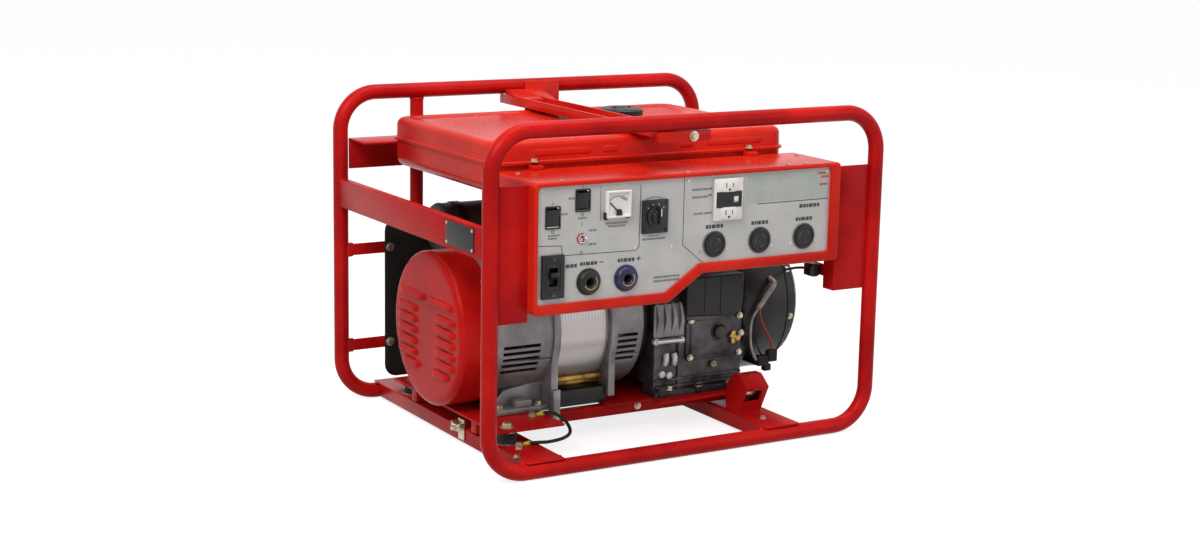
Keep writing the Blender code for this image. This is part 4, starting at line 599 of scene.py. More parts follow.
def makeMount(node):
    low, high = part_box(node)
    x, y, radius = (low.x + high.x) / 2, (low.y + high.y) / 2, (high.x - low.x) / 2
    a, b = low.z + mounts["plate"], high.z - mounts["plate"]
    profile = [(a, radius - 0.0006)]
    for i in range(9):
        t = i / 8
        profile.append((a + (b - a) * t, radius - 0.0006 - mounts["waist"] * math.sin(math.pi * t) ** 0.8))
    profile.append((b, radius - 0.0006))
    keep(meshObject(node + "Rubber", lathe(bmesh.new(), profile, "Z", (x, y, 0), 48), smooth=50), "rubber",
         replaces=(node,))
    bm = bmesh.new()
    for z in (low.z, b):
        lathe(bm, ((z, radius - 0.0004), (z + 0.0003, radius), (z + mounts["plate"] - 0.0003, radius),
                   (z + mounts["plate"], radius - 0.0004)), "Z", (x, y, 0), 48)
    piece(node + "Plates", bm, "zinc")


def makeHoodFittings():
    bm = bmesh.new()  # plated strip seen through each hood window
    for side in (-1, 1):
        near, far = mirrored(side, 0.1885, 0.1905)
        block(bm, (0.164, near, 0.0585), (0.192, far, 0.0655))
    piece("hoodStrips", bm, "zinc", bevel=0.0004)
    bm = bmesh.new()
    for side in (-1, 1):
        near, far = mirrored(side, 0.160, 0.187)
        block(bm, (0.1640, near, 0.0565), (0.1990, far, 0.0700))
    piece("hoodPads", bm, "rubber", bevel=0.0008)


makeCage()
for mountNode in mountNodes:
    makeMount(mountNode)
makeHoodFittings()
print("cage ready")


console = {"left": -0.2921, "right": 0.2694, "top": 0.459, "dropLeft": 0.201, "dropRight": 0.160, "stepLeft": -0.054,
           "stepRight": 0.008, "front": -0.296, "back": -0.171, "wall": 0.002, "corner": 0.0075, "edge": 0.0035,
           "rimLeft": 0.006, "rimTop": 0.007, "rimRight": 0.0185, "rimBottom": 0.016, "panelFace": -0.290,
           "lipDepth": 0.0057, "lipRound": 0.0014, "lipCorner": 0.0058, "hem": 0.0006}


def insetPolygon(outline, distances):
    count = len(outline)
    lines = []
    for i in range(count):
        a, b = Vector(outline[i]), Vector(outline[(i + 1) % count])
        along = (b - a).normalized()
        lines.append((a + Vector((-along.y, along.x)) * distances[i], along))
    moved = []
    for i in range(count):
        (p, u), (q, v) = lines[i - 1], lines[i]
        moved.append(p + u * ((q - p).cross(v) / u.cross(v)))
    return moved


def roundPolygon(outline, radius, steps=8):
    points = []
    count = len(outline)
    for i in range(count):
        corner = Vector(outline[i])
        a, b = (Vector(outline[i - 1]) - corner).normalized(), (Vector(outline[(i + 1) % count]) - corner).normalized()
        half = math.acos(max(-1, min(1, a.dot(b)))) / 2
        reach = radius / math.tan(half)
        start, end = corner + a * reach, corner + b * reach
        middle = corner + (a + b).normalized() * (radius / math.sin(half))
        first, last = start - middle, end - middle
        sweep = first.angle_signed(last)
        for k in range(steps + 1):
            turn = -sweep * k / steps
            points.append(middle + Vector((first.x * math.cos(turn) - first.y * math.sin(turn),
                                           first.x * math.sin(turn) + first.y * math.cos(turn))))
    return points


def consoleFront():
    lowLeft, lowRight = console["top"] - console["dropLeft"], console["top"] - console["dropRight"]
    return [(console["left"], lowLeft), (console["stepLeft"], lowLeft), (console["stepRight"], lowRight),
            (console["right"], lowRight), (console["right"], console["top"]), (console["left"], console["top"])]


def makeConsoleShell():
    outer = consoleFront()
    rims = [console[k] for k in ("rimBottom", "rimBottom", "rimBottom", "rimRight", "rimTop", "rimLeft")]
    edge, wall, front, back = console["edge"], console["wall"], console["front"], console["back"]
    lipDepth, lipRound, hem = console["lipDepth"], console["lipRound"], console["hem"]
    rings = []

    def ring(y, insets, corner):
        rings.append([(p.x, y, p.y) for p in roundPolygon(insetPolygon(outer, insets), max(corner, 0.0012))])

    ring(front + lipDepth, rims, console["lipCorner"])  # inner lip of the rim, in front of the panel
    ring(front + lipRound, rims, console["lipCorner"])
    ring(front + 0.0004, [r - 0.0004 for r in rims], 0.0060)
    ring(front, [r - lipRound for r in rims], 0.0066)
    for i in range(6):
        turn = math.pi / 2 * i / 5
        ring(front + edge * (1 - math.cos(turn)), [edge * (1 - math.sin(turn))] * 6, console["corner"])
    ring(back - hem, [0] * 6, console["corner"])
    ring(back, [hem] * 6, console["corner"])
    ring(back, [wall - hem] * 6, console["corner"] - wall)
    ring(back - hem, [wall] * 6, console["corner"] - wall)
    ring(front + lipDepth, [wall] * 6, console["corner"] - wall)
    bm = skin(bmesh.new(), rings, closed=True)
    piece("consoleShell", bm, "paintedLitRed", replaces=("console_box",), smooth=40)
    bm = block(bmesh.new(), (-0.3418, -0.2753, 0.246), (-0.2915, -0.2723, 0.454))
    piece("consoleLeftWing", bm, "cageRed", bevel=0.0011)
    bm = bmesh.new()
    for x in (-0.224, 0.176):
        outline = roundOutline(x - 0.010, x + 0.010, -0.183, -0.1635, 0.004)
        extrude(bm, outline, "Z", 0.458, 0.4659)
    piece("tankTabsFront", bm, "paintedLitRed", bevel=0.0008)
    softened("console_right_plate", "cageRed", 0.0011)


def ribbon(bm, points, y, width, proud=0.00025):
    points = [Vector(p) for p in points]  # a thin printed line on the panel
    for a, b in zip(points, points[1:]):
        along = (b - a).normalized()
        across = Vector((-along.y, along.x)) * width / 2
        a2, b2 = a - along * width / 2, b + along * width / 2
        extrude(bm, [tuple(a2 - across), tuple(b2 - across), tuple(b2 + across), tuple(a2 + across)], "Y", y - proud, y)


def arcPoints(centre, radius, start, end, steps=24):
    return [(centre[0] + radius * math.cos(math.radians(start + (end - start) * i / steps)),
             centre[1] + radius * math.sin(math.radians(start + (end - start) * i / steps))) for i in range(steps + 1)]


def middleOf(node):
    low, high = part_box(node)
    return (low + high) / 2, low, high


panelPrint = {"line": 0.0010, "mark": 0.0008, "ink": 0.0002}


def printRow(bm, x, z, count, height, face):
    sizes = [height * (0.62 + 0.22 * ((i * 3 + count) % 4)) for i in range(count)]
    gap = height * 0.22
    left = x - (sum(sizes) + gap * (count - 1)) / 2
    for size in sizes:  # plain blocks stand for the printed captions
        extrude(bm, [(left, z - height / 2), (left + size, z - height / 2), (left + size, z + height / 2),
                     (left, z + height / 2)], "Y", face - panelPrint["ink"], face)
        left += size + gap


captions = {"receptacle_left": ((0, 0.0280, 5, 0.0058),), "receptacle_middle": ((0, 0.0280, 5, 0.0058),),
            "receptacle_right": ((0, 0.0280, 5, 0.0058), (0.010, 0.0490, 6, 0.0058)),
            "weld_socket_left": ((0, 0.0280, 5, 0.0054), (-0.030, 0.0265, 3, 0.0054)),
            "weld_socket_right": ((0, 0.0280, 5, 0.0054),),
            "rocker_left": ((0.002, -0.0270, 6, 0.0028), (0, -0.0315, 5, 0.0028), (0.020, 0.004, 3, 0.0030)),
            "rocker_right": ((0, -0.0270, 5, 0.0028), (-0.019, 0.004, 3, 0.0030)),
            "toggle_lever": ((0.019, 0.011, 4, 0.0030), (0.019, -0.010, 4, 0.0030)),
            "voltmeter": ((0, -0.0295, 11, 0.0030), (0, -0.0340, 9, 0.0030)),
            "selector_switch": ((0, -0.0350, 12, 0.0030),),
            "duplex_outlet": ((-0.051, 0.018, 7, 0.0034), (-0.032, 0.018, 2, 0.0034), (-0.051, 0.006, 7, 0.0034),
                              (-0.032, 0.008, 2, 0.0034), (-0.053, -0.020, 5, 0.0030), (-0.035, -0.020, 4, 0.0030))}


def makePanelPrint():
    face = console["panelFace"]
    bm = bmesh.new()
    line = panelPrint["line"]
    corner = [(-0.1165, 0.3445)] + arcPoints((-0.1165, 0.3535), 0.009, -90, 0, 8) + [(-0.1065, 0.444)]
    ribbon(bm, [(-0.2860, 0.3640), (-0.2440, 0.3615), (-0.2410, 0.3465)] + corner, face, line)
    ribbon(bm, [(-0.0280, 0.4518), (-0.0280, 0.3460), (0.0140, 0.3120)], face, line)
    ribbon(bm, [(0.1100, 0.4010), (0.2480, 0.4010)], face, line * 1.3)
    ribbon(bm, [(-0.1770, 0.4480), (-0.1770, 0.3950)], face, line * 0.6)
    piece("panelLines", bm, "printInk", smooth=0)
    bm = bmesh.new()
    outline = roundOutline(0.0900, 0.2485, 0.4040, 0.4490, 0.004)
    extrude(bm, outline, "Y", face - 0.0003, face)
    piece("panelBlankLabel", bm, "blankLabel", smooth=0)
    marks = bmesh.new()
    mark = panelPrint["mark"]
    small = bmesh.new()
    for node, rows in captions.items():
        centre = middleOf(node)[0]
        for across, up, count, height in rows:
            printRow(marks if height > 0.005 else small, centre.x + across, centre.z + up, count, height, face)
    for node, plus in (("weld_socket_left", False), ("weld_socket_right", True)):
        centre = middleOf(node)[0]
        x, z = centre.x + 0.0225, centre.z + 0.0285
        ribbon(marks, [(x - 0.0030, z), (x + 0.0030, z)], face, mark * 1.8)
        if plus:
            ribbon(marks, [(x, z - 0.0030), (x, z + 0.0030)], face, mark * 1.8)
    for node in ("rocker_left", "rocker_right", "toggle_lever"):
        centre = middleOf(node)[0]  # on and off marks
        top, bottom = centre.z + 0.0215, centre.z - 0.0215
        ribbon(marks, [(centre.x, top - 0.0022), (centre.x, top + 0.0022)], face, mark)
        ribbon(marks, arcPoints((centre.x, bottom), 0.0021, 0, 360, 16), face, mark * 0.8)
    knob = middleOf("selector_switch")[0]
    ribbon(marks, [(knob.x - 0.010, knob.z - 0.0305), (knob.x + 0.010, knob.z - 0.0305)], face, mark)
    ribbon(marks, arcPoints((knob.x, knob.z), 0.0300, 62, 118, 12), face, mark)
    for z in (0.2990, 0.2930):
        printRow(small, -0.0560, z, 12, 0.0034, face)
    piece("panelSmallMarks", small, "printGrey", smooth=0)
    piece("panelMarks", marks, "printInk", smooth=0)
    bm = bmesh.new()
    for x, z, count in ((0.2360, 0.4430, 5), (0.2400, 0.4370, 4), (0.2380, 0.4250, 4)):
        printRow(bm, x, z, count, 0.0034, face - 0.0003)
    piece("panelRedMarks", bm, "paleRed", smooth=0)
    screws = [(-0.1150, 0.3480), (-0.0490, 0.3460), (-0.2790, 0.2650), (-0.2280, 0.2665), (0.0145, 0.3070),
              (0.0730, 0.3090), (0.1590, 0.3090), (0.2440, 0.3090), (-0.1630, 0.2620), (-0.0900, 0.2620),
              (0.2440, 0.4450), (-0.2790, 0.4460), (-0.0200, 0.4460)]
    bolts("panelScrews", aimed([(x, face, z) for x, z in screws], toFront), sides=16)
    paintNode("face_plate", "panelGrey")


def makeBezel(name, outer, inner, seat, lift, edgeLift):
    steps = ((inner, seat), (inner, seat - lift), (outer, seat - edgeLift), (outer, seat))
    rings = [[(x, y, z) for x, z in outline] for outline, y in steps]
    piece(name, skin(bmesh.new(), rings, closed=True), "blackPlastic")


def makeRocker(node):
    centre, low, high = middleOf(node)
    softened(node, "blackPlastic", 0.0007, body=node)
    outer = roundOutline(low.x - 0.0022, high.x + 0.0022, centre.z - 0.0172, centre.z + 0.0172, 0.0022)
    inner = roundOutline(low.x - 0.0004, high.x + 0.0004, centre.z - 0.0151, centre.z + 0.0151, 0.0010)
    makeBezel(node + "Bezel", outer, inner, console["panelFace"] - 0.0002, 0.0020, 0.0014)


def makeToggle():
    centre = middleOf("toggle_lever")[0]
    pivot = Vector((centre.x, -0.289, 0.370))
    y = pivot.y
    profile = [(y + 0.004, 0.0020), (y + 0.003, 0.0040), (y, 0.0049), (y - 0.003, 0.0040), (y - 0.0045, 0.0020),
               (y - 0.0060, 0.0018), (y - 0.0100, 0.0021), (y - 0.0140, 0.0026), (y - 0.0160, 0.0024),
               (y - 0.0170, 0.0014)]
    bm = lathe(bmesh.new(), profile, "Y", (pivot.x, 0, pivot.z), 32)
    turn = Matrix.Translation(pivot) @ Matrix.Rotation(math.radians(-12), 4, "X") @ Matrix.Translation(-pivot)
    bmesh.ops.transform(bm, matrix=turn, verts=bm.verts)
    piece("toggleLever", bm, "brightSteel", "toggle_lever", ("toggle_lever",), smooth=50)
    seat = console["panelFace"]
    bm = lathe(bmesh.new(), ((seat, 0.0085), (seat - 0.0012, 0.0083), (seat - 0.0016, 0.0076), (seat - 0.0016, 0.0062),
                             (seat, 0.0060)), "Y", (pivot.x, 0, pivot.z), 40, closed=True)
    piece("toggleRing", bm, "paleRed")
    bm = lathe(bmesh.new(), ((seat - 0.0016, 0.0074), (seat - 0.0034, 0.0072), (seat - 0.0034, 0.0056),
                             (seat - 0.0016, 0.0056)), "Y", (pivot.x, 0, pivot.z), 6, closed=True)
    piece("toggleNut", bm, "brightSteel", bevel=0.0003)


def makeBreaker():
    softened("main_breaker", "blackPlastic", 0.0010)
    softened("breaker_handle", "blackPlastic", 0.0005, body="breaker_handle")
    centre, low = middleOf("main_breaker")[:2]
    face = low.y
    outer = centredOutline(centre.x, centre.z, 0.0125, 0.0215, 0.0016)
    inner = centredOutline(centre.x, centre.z, 0.0110, 0.0200, 0.0010)
    makeBezel("breakerFrame", outer, inner, face, 0.0010, 0.0008)
    bm = bmesh.new()
    ribbon(bm, [(centre.x, centre.z + 0.0164), (centre.x, centre.z + 0.0190)], face, 0.0009)
    ribbon(bm, arcPoints((centre.x, centre.z - 0.0175), 0.0015, 0, 360, 14), face, 0.0006)
    piece("breakerMarks", bm, "paleRed", smooth=0)
    bolts("breakerScrews", aimed([(centre.x, face, centre.z + s * 0.0275) for s in (-1, 1)], toFront),
          sides=16, finish="darkSteel")


def makeMeter():
    centre, low, high = middleOf("voltmeter")
    softened("voltmeter", "whitePlastic", 0.0012)
    softened("meter_needle", "blackPlastic", 0.0001, body="meter_needle")
    dial = low.y + 0.004
    pivot = (centre.x, centre.z - 0.012)
    bm = bmesh.new()
    ribbon(bm, arcPoints(pivot, 0.0235, 50, 130, 24), dial, 0.00045)
    for i in range(17):
        angle = math.radians(50 + 5 * i)
        inner, outer = 0.0235, 0.0262 if i % 4 == 0 else 0.0249
        ribbon(bm, [(pivot[0] + r * math.cos(angle), pivot[1] + r * math.sin(angle)) for r in (inner, outer)], dial,
               0.0004)
    piece("meterScale", bm, "printInk", smooth=0)
    bm = bmesh.new()
    ribbon(bm, arcPoints(pivot, 0.0215, 50, 78, 12), dial, 0.0012)
    piece("meterBand", bm, "wireRed", smooth=0)
    bm = bmesh.new()
    outline = [(max(-0.0178 + centre.x, min(0.0178 + centre.x, x)), z)
               for x, z in arcPoints(pivot, 0.0050, 0, 180, 18)]
    extrude(bm, [(outline[0][0], pivot[1] - 0.0050)] + outline + [(outline[-1][0], pivot[1] - 0.0050)], "Y",
            low.y + 0.0001, low.y + 0.0016)
    piece("meterHub", bm, "blackPlastic", bevel=0.0004)
    bm = bmesh.new()
    block(bm, (low.x - 0.0025, low.y + 0.0020, low.z - 0.0020), (low.x + 0.0030, -0.2901, low.z + 0.0090))
    block(bm, (high.x - 0.0060, low.y + 0.0030, low.z - 0.0022), (high.x - 0.0010, -0.2901, low.z + 0.0010))
    piece("meterClips", bm, "blackPlastic", bevel=0.0005)


def makeSelector():
    centre, low = middleOf("selector_switch")[:2]
    softened("selector_switch", "blackPlastic", 0.0012)
    x, z, back = centre.x, centre.z, low.y - 0.0003
    profile = [(back, 0.0160), (back - 0.0006, 0.0165), (back - 0.0036, 0.0165), (back - 0.0044, 0.0158),
               (back - 0.0050, 0.0122), (back - 0.0112, 0.0112), (back - 0.0120, 0.0104)]
    bm = lathe(bmesh.new(), profile, "Y", (x, 0, z), 60)
    extrude(bm, [(x - 0.0029, z - 0.0108), (x + 0.0029, z - 0.0108), (x + 0.0029, z + 0.0153), (x, z + 0.0173),
                 (x - 0.0029, z + 0.0153)], "Y", back - 0.0164, back - 0.0036)
    piece("selectorKnob", bm, "blackPlastic", "selector_knob", ("selector_knob",), bevel=0.0005)
    bm = block(bmesh.new(), (x - 0.0007, back - 0.01645, z + 0.0030), (x + 0.0007, back - 0.0160, z + 0.0148))
    piece("selectorPointer", bm, "whitePlastic", "selector_knob", smooth=0)
    bm = bmesh.new()
    for i in range(4):
        angle = math.radians(45 + 30 * i)
        ribbon(bm, [(x + r * math.cos(angle), z + r * math.sin(angle)) for r in (0.0185, 0.0205)], low.y, 0.0008)
    piece("selectorTicks", bm, "whitePlastic", smooth=0)
    corners = [(x + a * 0.0185, low.y, z + b * 0.0215) for a in (-1, 1) for b in (-1, 1)]
    bolts("selectorScrews", aimed(corners, toFront), sides=16, finish="blackPlastic")


def makeDuplex():
    centre, low = middleOf("duplex_outlet")[:2]
    x, z, face = centre.x, centre.z, low.y
    softened("duplex_outlet", "whitePlastic", 0.0012)
    bm = bmesh.new()
    for left, right, down, up in ((-0.0235, 0.0084, -0.0125, 0.0125), (0.0176, 0.0235, -0.0125, 0.0125),
                                  (0.0084, 0.0176, 0.0048, 0.0125), (0.0084, 0.0176, -0.0125, -0.0048)):
        block(bm, (x + left, face - 0.0007, z + down), (x + right, face + 0.0001, z + up))
    piece("duplexMiddle", bm, "blackPlastic", smooth=0)
    bm = bmesh.new()
    for side in (-1, 1):
        c = z + side * 0.0215
        extrude(bm, centredOutline(x, c, 0.0150, 0.0095, 0.0050), "Y", face - 0.0012, face + 0.0001)
    piece("duplexFaces", bm, "whitePlastic", bevel=0.0004)
    bm = bmesh.new()
    for side in (-1, 1):
        c = z + side * 0.0215
        for dx, height in ((-0.0062, 0.0078), (0.0062, 0.0062)):
            block(bm, (x + dx - 0.0008, face - 0.00135, c - height / 2 + 0.001),
                  (x + dx + 0.0008, face - 0.0011, c + height / 2 + 0.001))
        extrude(bm, roundOutline(x - 0.0021, x + 0.0021, c - 0.0079, c - 0.0040, 0.0019), "Y", face - 0.00135,
                face - 0.0011)
    piece("duplexSlots", bm, "blackPlastic", smooth=0)
    softened("reset_button", "whitePlastic", 0.0004, body="reset_button")


def makeReceptacle(node):
    centre, low, high = middleOf(node)
    x, z, front, back = centre.x, centre.z, low.y, high.y
    seat = console["panelFace"] - 0.0003
    profile = [(back, 0.0176), (seat + 0.0001, 0.0179), (seat, 0.0200), (seat - 0.0006, 0.0205),
               (seat - 0.0016, 0.0205), (seat - 0.0022, 0.0198), (seat - 0.0024, 0.0180), (seat - 0.0042, 0.0176),
               (front, 0.0168), (front, 0.0152), (front + 0.0010, 0.0149), (front + 0.0010, 0.0001)]
    keep(meshObject(node + "Body", lathe(bmesh.new(), profile, "Y", (x, 0, z), 72)), "blackPlastic", replaces=(node,))
    bm = bmesh.new()
    for start, end in ((20, 82), (140, 202), (262, 314)):
        inner, outer = arcPoints((x, z), 0.0088, start, end, 10), arcPoints((x, z), 0.0108, start, end, 10)
        extrude(bm, inner + outer[::-1], "Y", front + 0.0006, front + 0.0011)
    lathe(bm, ((front + 0.0011, 0.0030), (front + 0.0006, 0.0030), (front + 0.0006, 0.0022), (front + 0.0011, 0.0022)),
          "Y", (x, 0, z), 24, closed=True)
    piece(node + "Contacts", bm, "darkSteel", smooth=0)
    bm = lathe(bmesh.new(), ((seat - 0.0016, 0.0209), (seat - 0.0022, 0.0205), (seat - 0.0022, 0.0198),
                             (seat - 0.0016, 0.0196)), "Y", (x, 0, z), 72, closed=True)
    piece(node + "Rim", bm, "mufflerGrey")
    bolts(node + "Screws", aimed([(x + s * 0.0252, console["panelFace"], z - 0.010) for s in (-1, 1)],
          toFront), kind="receptacleScrews", sides=16)


def makeWeldSocket(node, finish):
    centre, low, high = middleOf(node)
    x, z, front = centre.x, centre.z, low.y
    seat = front + 0.008
    profile = [(front + 0.026, 0.0001), (front + 0.026, 0.0068), (front + 0.0012, 0.0068), (front, 0.0078),
               (front, 0.0150), (front + 0.0007, 0.0163), (front + 0.0032, 0.0182), (front + 0.0050, 0.0190),
               (front + 0.0058, 0.0205), (front + 0.0066, 0.0208), (seat, 0.0208), (seat, 0.0150),
               (high.y, 0.0150), (high.y, 0.0001)]
    keep(meshObject(node + "Body", lathe(bmesh.new(), profile, "Y", (x, 0, z), 72)), finish, replaces=(node,))
    bm = lathe(bmesh.new(), ((front + 0.0240, 0.0064), (front + 0.0040, 0.0064), (front + 0.0034, 0.0067),
                             (front + 0.0240, 0.0067)), "Y", (x, 0, z), 40, closed=True)
    lathe(bm, ((front + 0.0259, 0.0001), (front + 0.0259, 0.0060), (front + 0.0230, 0.0060), (front + 0.0225, 0.0001)),
          "Y", (x, 0, z), 32)
    piece(node + "Contact", bm, "oilBrown")
    bm = bmesh.new()
    arc = arcPoints((x, z), 0.0108, 200, 400, 26)
    tube(bm, [(a, front - 0.0001, b) for a, b in arc], 0.0008, 8)
    piece(node + "Ring", bm, "brass")


def makePanel():
    makePanelPrint()
    makeRocker("rocker_left")
    makeRocker("rocker_right")
    makeToggle()
    makeBreaker()
    makeMeter()
    makeSelector()
    makeDuplex()
    for node in ("receptacle_left", "receptacle_middle", "receptacle_right"):
        makeReceptacle(node)
    makeWeldSocket("weld_socket_left", "blackPlastic")
    makeWeldSocket("weld_socket_right", "navyPlastic")


makeConsoleShell()
makePanel()
print("console ready")


tank = {"left": -0.298, "right": 0.256, "front": -0.168, "back": 0.2045, "seat": 0.4662, "seam": 0.4682,
        "crown": 0.5028, "pan": 0.4202, "corner": 0.024, "lip": 0.005, "round": 0.012, "panRound": 0.017,
        "dish": 0.0022}


def tankRing(margin, radius, z, steps=14):
    return [(x, y, z) for x, y in roundOutline(tank["left"] + margin, tank["right"] - margin, tank["front"] + margin,
                                               tank["back"] - margin, max(radius, 0.0008), steps)]


def tankHalf(heights, rounding, pinch, level, way):
    lip, corner = tank["lip"], tank["corner"]  # the flange at the seam, then the rounded shoulder
    flange = ((lip + 0.001, corner), (0.0004, corner + lip), (0, corner + lip), (0.0004, corner + lip),
              (lip - 0.0014, corner + 0.001), (lip - 0.0003, corner))
    rings = [tankRing(margin, radius, z) for (margin, radius), z in zip(flange, heights)]
    for i in range(8):
        turn = math.pi / 2 * i / 7
        rings.append(tankRing(lip + rounding * (1 - math.cos(turn)), corner - pinch * rounding * (1 - math.cos(turn)),
                              level + way * rounding * (1 - math.sin(turn))))
    return rings


def makeTank():
    lip, corner, crown, seam, seat = (tank[k] for k in ("lip", "corner", "crown", "seam", "seat"))
    rings = tankHalf([seam + lift for lift in (0.0003, 0.0002, 0.0008, 0.0020, 0.0021, 0.0032)], tank["round"], 0.5,
                     crown, -1)
    for margin, drop in ((0.024, 0.0), (0.027, 0.0004), (0.031, 0.0018), (0.034, 0.0022), (0.060, 0.0022)):
        rings.append(tankRing(margin, corner - 0.004 - min(margin * 0.3, 0.012), crown - drop * tank["dish"] / 0.0022))
    bm = skin(bmesh.new(), rings, capped=True)
    low, high = middleOf("fuel_cap")[1:]
    x, y = (low.x + high.x) / 2, (low.y + high.y) / 2
    lathe(bm, ((crown - 0.0050, 0.0300), (crown + 0.0002, 0.0295), (crown + 0.0001, 0.0240)), "Z", (x, y, 0), 48)
    piece("tankTop", bm, "paintedLitRed", replaces=("fuel_tank_upper",), smooth=38)
    neck = lathe(bmesh.new(), ((crown - 0.004, 0.0205), (crown - 0.004, 0.0240), (crown + 0.0085, 0.0240),
                               (crown + 0.0090, 0.0235), (crown + 0.0090, 0.0210), (crown + 0.0085, 0.0205)), "Z",
                 (x, y, 0), 48, closed=True)
    piece("tankNeck", neck, "zinc")
    rings = tankHalf((seam - 0.0003, seam - 0.0002, seam - 0.0008, seat, seat, seat - 0.0010), tank["panRound"], 0.6,
                     tank["pan"], 1)
    piece("tankPan", skin(bmesh.new(), rings), "paintedLitRed", replaces=("fuel_tank_lower",), smooth=38)
    bm = bmesh.new()  # pressed ovals along the front and back walls
    for face, side in ((tank["front"] + lip, -1), (tank["back"] - lip, 1)):
        for start, end in ((-0.222, -0.120), (-0.100, -0.072), (0.044, 0.072), (0.094, 0.204)):
            rings = []
            for proud, margin in ((-0.0010, 0.0), (0.0002, 0.0), (0.0009, 0.0008), (0.0013, 0.0022), (0.0014, 0.0040)):
                outline = roundOutline(start + margin, end - margin, 0.4772 + margin, 0.4882 - margin, 0.0054 - margin)
                rings.append([(x, face + side * proud, z) for x, z in outline])
            skin(bm, rings)
    piece("tankRibs", bm, "paintedLitRed", smooth=60)
    points = [(x, tank["front"] + 0.0010, seam + 0.0021) for x in (-0.224, 0.176)]
    points += [(x, tank["back"] - 0.0010, seam + 0.0021) for x in (-0.150, 0.140)]
    bolts("tankBolts", aimed(points, toTop))


capShape = {"ribs": 40, "rib": 0.0007}


def makeFuelCap():
    centre, low, high = middleOf("fuel_cap")
    x, y, base, top = centre.x, centre.y, low.z, high.z
    radius = (high.x - low.x) / 2 - 0.0001
    rings = []
    for i in range(capShape["ribs"] * 4):
        angle = 2 * math.pi * i / (capShape["ribs"] * 4)
        edge = radius - capShape["rib"] * (0.5 - 0.5 * math.cos(angle * capShape["ribs"]))
        profile = [(base + 0.0093, 0.0002), (base + 0.0093, 0.0243), (base, 0.0243), (base, radius - 0.0016),
                   (base + 0.0010, edge), (base + 0.0088, edge), (base + 0.0102, radius - 0.0018),
                   (base + 0.0116, radius - 0.0050), (base + 0.0124, radius - 0.0080), (base + 0.0128, radius - 0.0120),
                   (base + 0.0120, radius - 0.0135), (base + 0.0120, 0.0120), (base + 0.0136, 0.0090),
                   (base + 0.0139, 0.0002)]
        rings.append([(x + r * math.cos(angle), y + r * math.sin(angle), z) for z, r in profile])
    piece("fuelCapSkin", wind(bmesh.new(), rings), "blackPlastic", "fuel_cap", ("fuel_cap",), smooth=40)
    bm = block(bmesh.new(), (x - 0.0170, y - 0.0030, base + 0.0118), (x + 0.0170, y + 0.0030, top - 0.0001))
    piece("fuelCapGrip", bm, "blackPlastic", "fuel_cap", bevel=0.0010)


makeTank()
makeFuelCap()
print("tank ready")


shaftZ = 0.183
drum = {"left": -0.325, "right": -0.2623, "radius": 0.126, "wall": 0.002, "rim": 0.013, "steps": 96,
        "louvreDepth": 0.0068, "louvreHeight": 0.0116, "sheet": 0.0008}
louvreRows = [(side * 0.050, 0.232, 0.088) for side in (-1, 1)]  # middle Y and Z, and length, of each louvre
louvreRows += [(side * 0.068, 0.208 - 0.0182 * i, 0.066) for side in (-1, 1) for i in range(5)]
louvreRows += [(side * 0.053, 0.117, 0.056) for side in (-1, 1)]


def onShaft(x, radius, degrees):
    angle = math.radians(degrees)  # a point on a ring about the shaft
    return (x, radius * math.cos(angle), shaftZ + radius * math.sin(angle))


def outward(degrees):
    return (0, math.cos(math.radians(degrees)), math.sin(math.radians(degrees)))


def makeLouvreTree():
    sizes = (("Length", 0.06), ("Height", 0.008), ("Depth", 0.004))
    sockets = [(label, "NodeSocketFloat", value) for label, value in sizes]
    tree, start, end = newTree("pressedLouvres", sockets + [("Finish", "NodeSocketMaterial", None)])
    nodes, links = tree.nodes, tree.links

    def calculate(operation, a, b=None):
        node = nodes.new("ShaderNodeMath")
        node.operation = operation
        for i, value in enumerate((a, b)):
            if value is None:
                continue
            if isinstance(value, (int, float)):
                node.inputs[i].default_value = value
            else:
                links.new(value, node.inputs[i])
        return node.outputs[0]

    grid = nodes.new("GeometryNodeMeshGrid")
    grid.inputs["Vertices X"].default_value = 33
    grid.inputs["Vertices Y"].default_value = 8
    links.new(start.outputs["Length"], grid.inputs["Size X"])
    links.new(start.outputs["Height"], grid.inputs["Size Y"])
    place = nodes.new("GeometryNodeInputPosition")
    split = nodes.new("ShaderNodeSeparateXYZ")
    links.new(place.outputs[0], split.inputs[0])
    reach = calculate("DIVIDE", calculate("MULTIPLY", split.outputs["X"], 2), start.outputs["Length"])
    fall = calculate("POWER", calculate("ABSOLUTE", reach), 6)
    ends = calculate("SQRT", calculate("MAXIMUM", calculate("SUBTRACT", 1, fall), 0))
    down = calculate("SUBTRACT", 0.5, calculate("DIVIDE", split.outputs["Y"], start.outputs["Height"]))
    steep = calculate("POWER", calculate("MAXIMUM", down, 0), 0.65)
    swell = calculate("SINE", calculate("MULTIPLY", steep, math.pi / 2))
    out = calculate("MULTIPLY", calculate("MULTIPLY", calculate("MULTIPLY", ends, swell), start.outputs["Depth"]), -1)
    bent = nodes.new("ShaderNodeCombineXYZ")
    links.new(out, bent.inputs["X"])
    links.new(split.outputs["X"], bent.inputs["Y"])
    links.new(split.outputs["Y"], bent.inputs["Z"])
    shape = nodes.new("GeometryNodeSetPosition")
    links.new(grid.outputs["Mesh"], shape.inputs["Geometry"])
    links.new(bent.outputs[0], shape.inputs["Position"])
    copies = nodes.new("GeometryNodeInstanceOnPoints")
    links.new(start.outputs["Geometry"], copies.inputs["Points"])
    links.new(shape.outputs["Geometry"], copies.inputs["Instance"])
    finishTree(tree, copies.outputs["Instances"], start, end)
    return tree


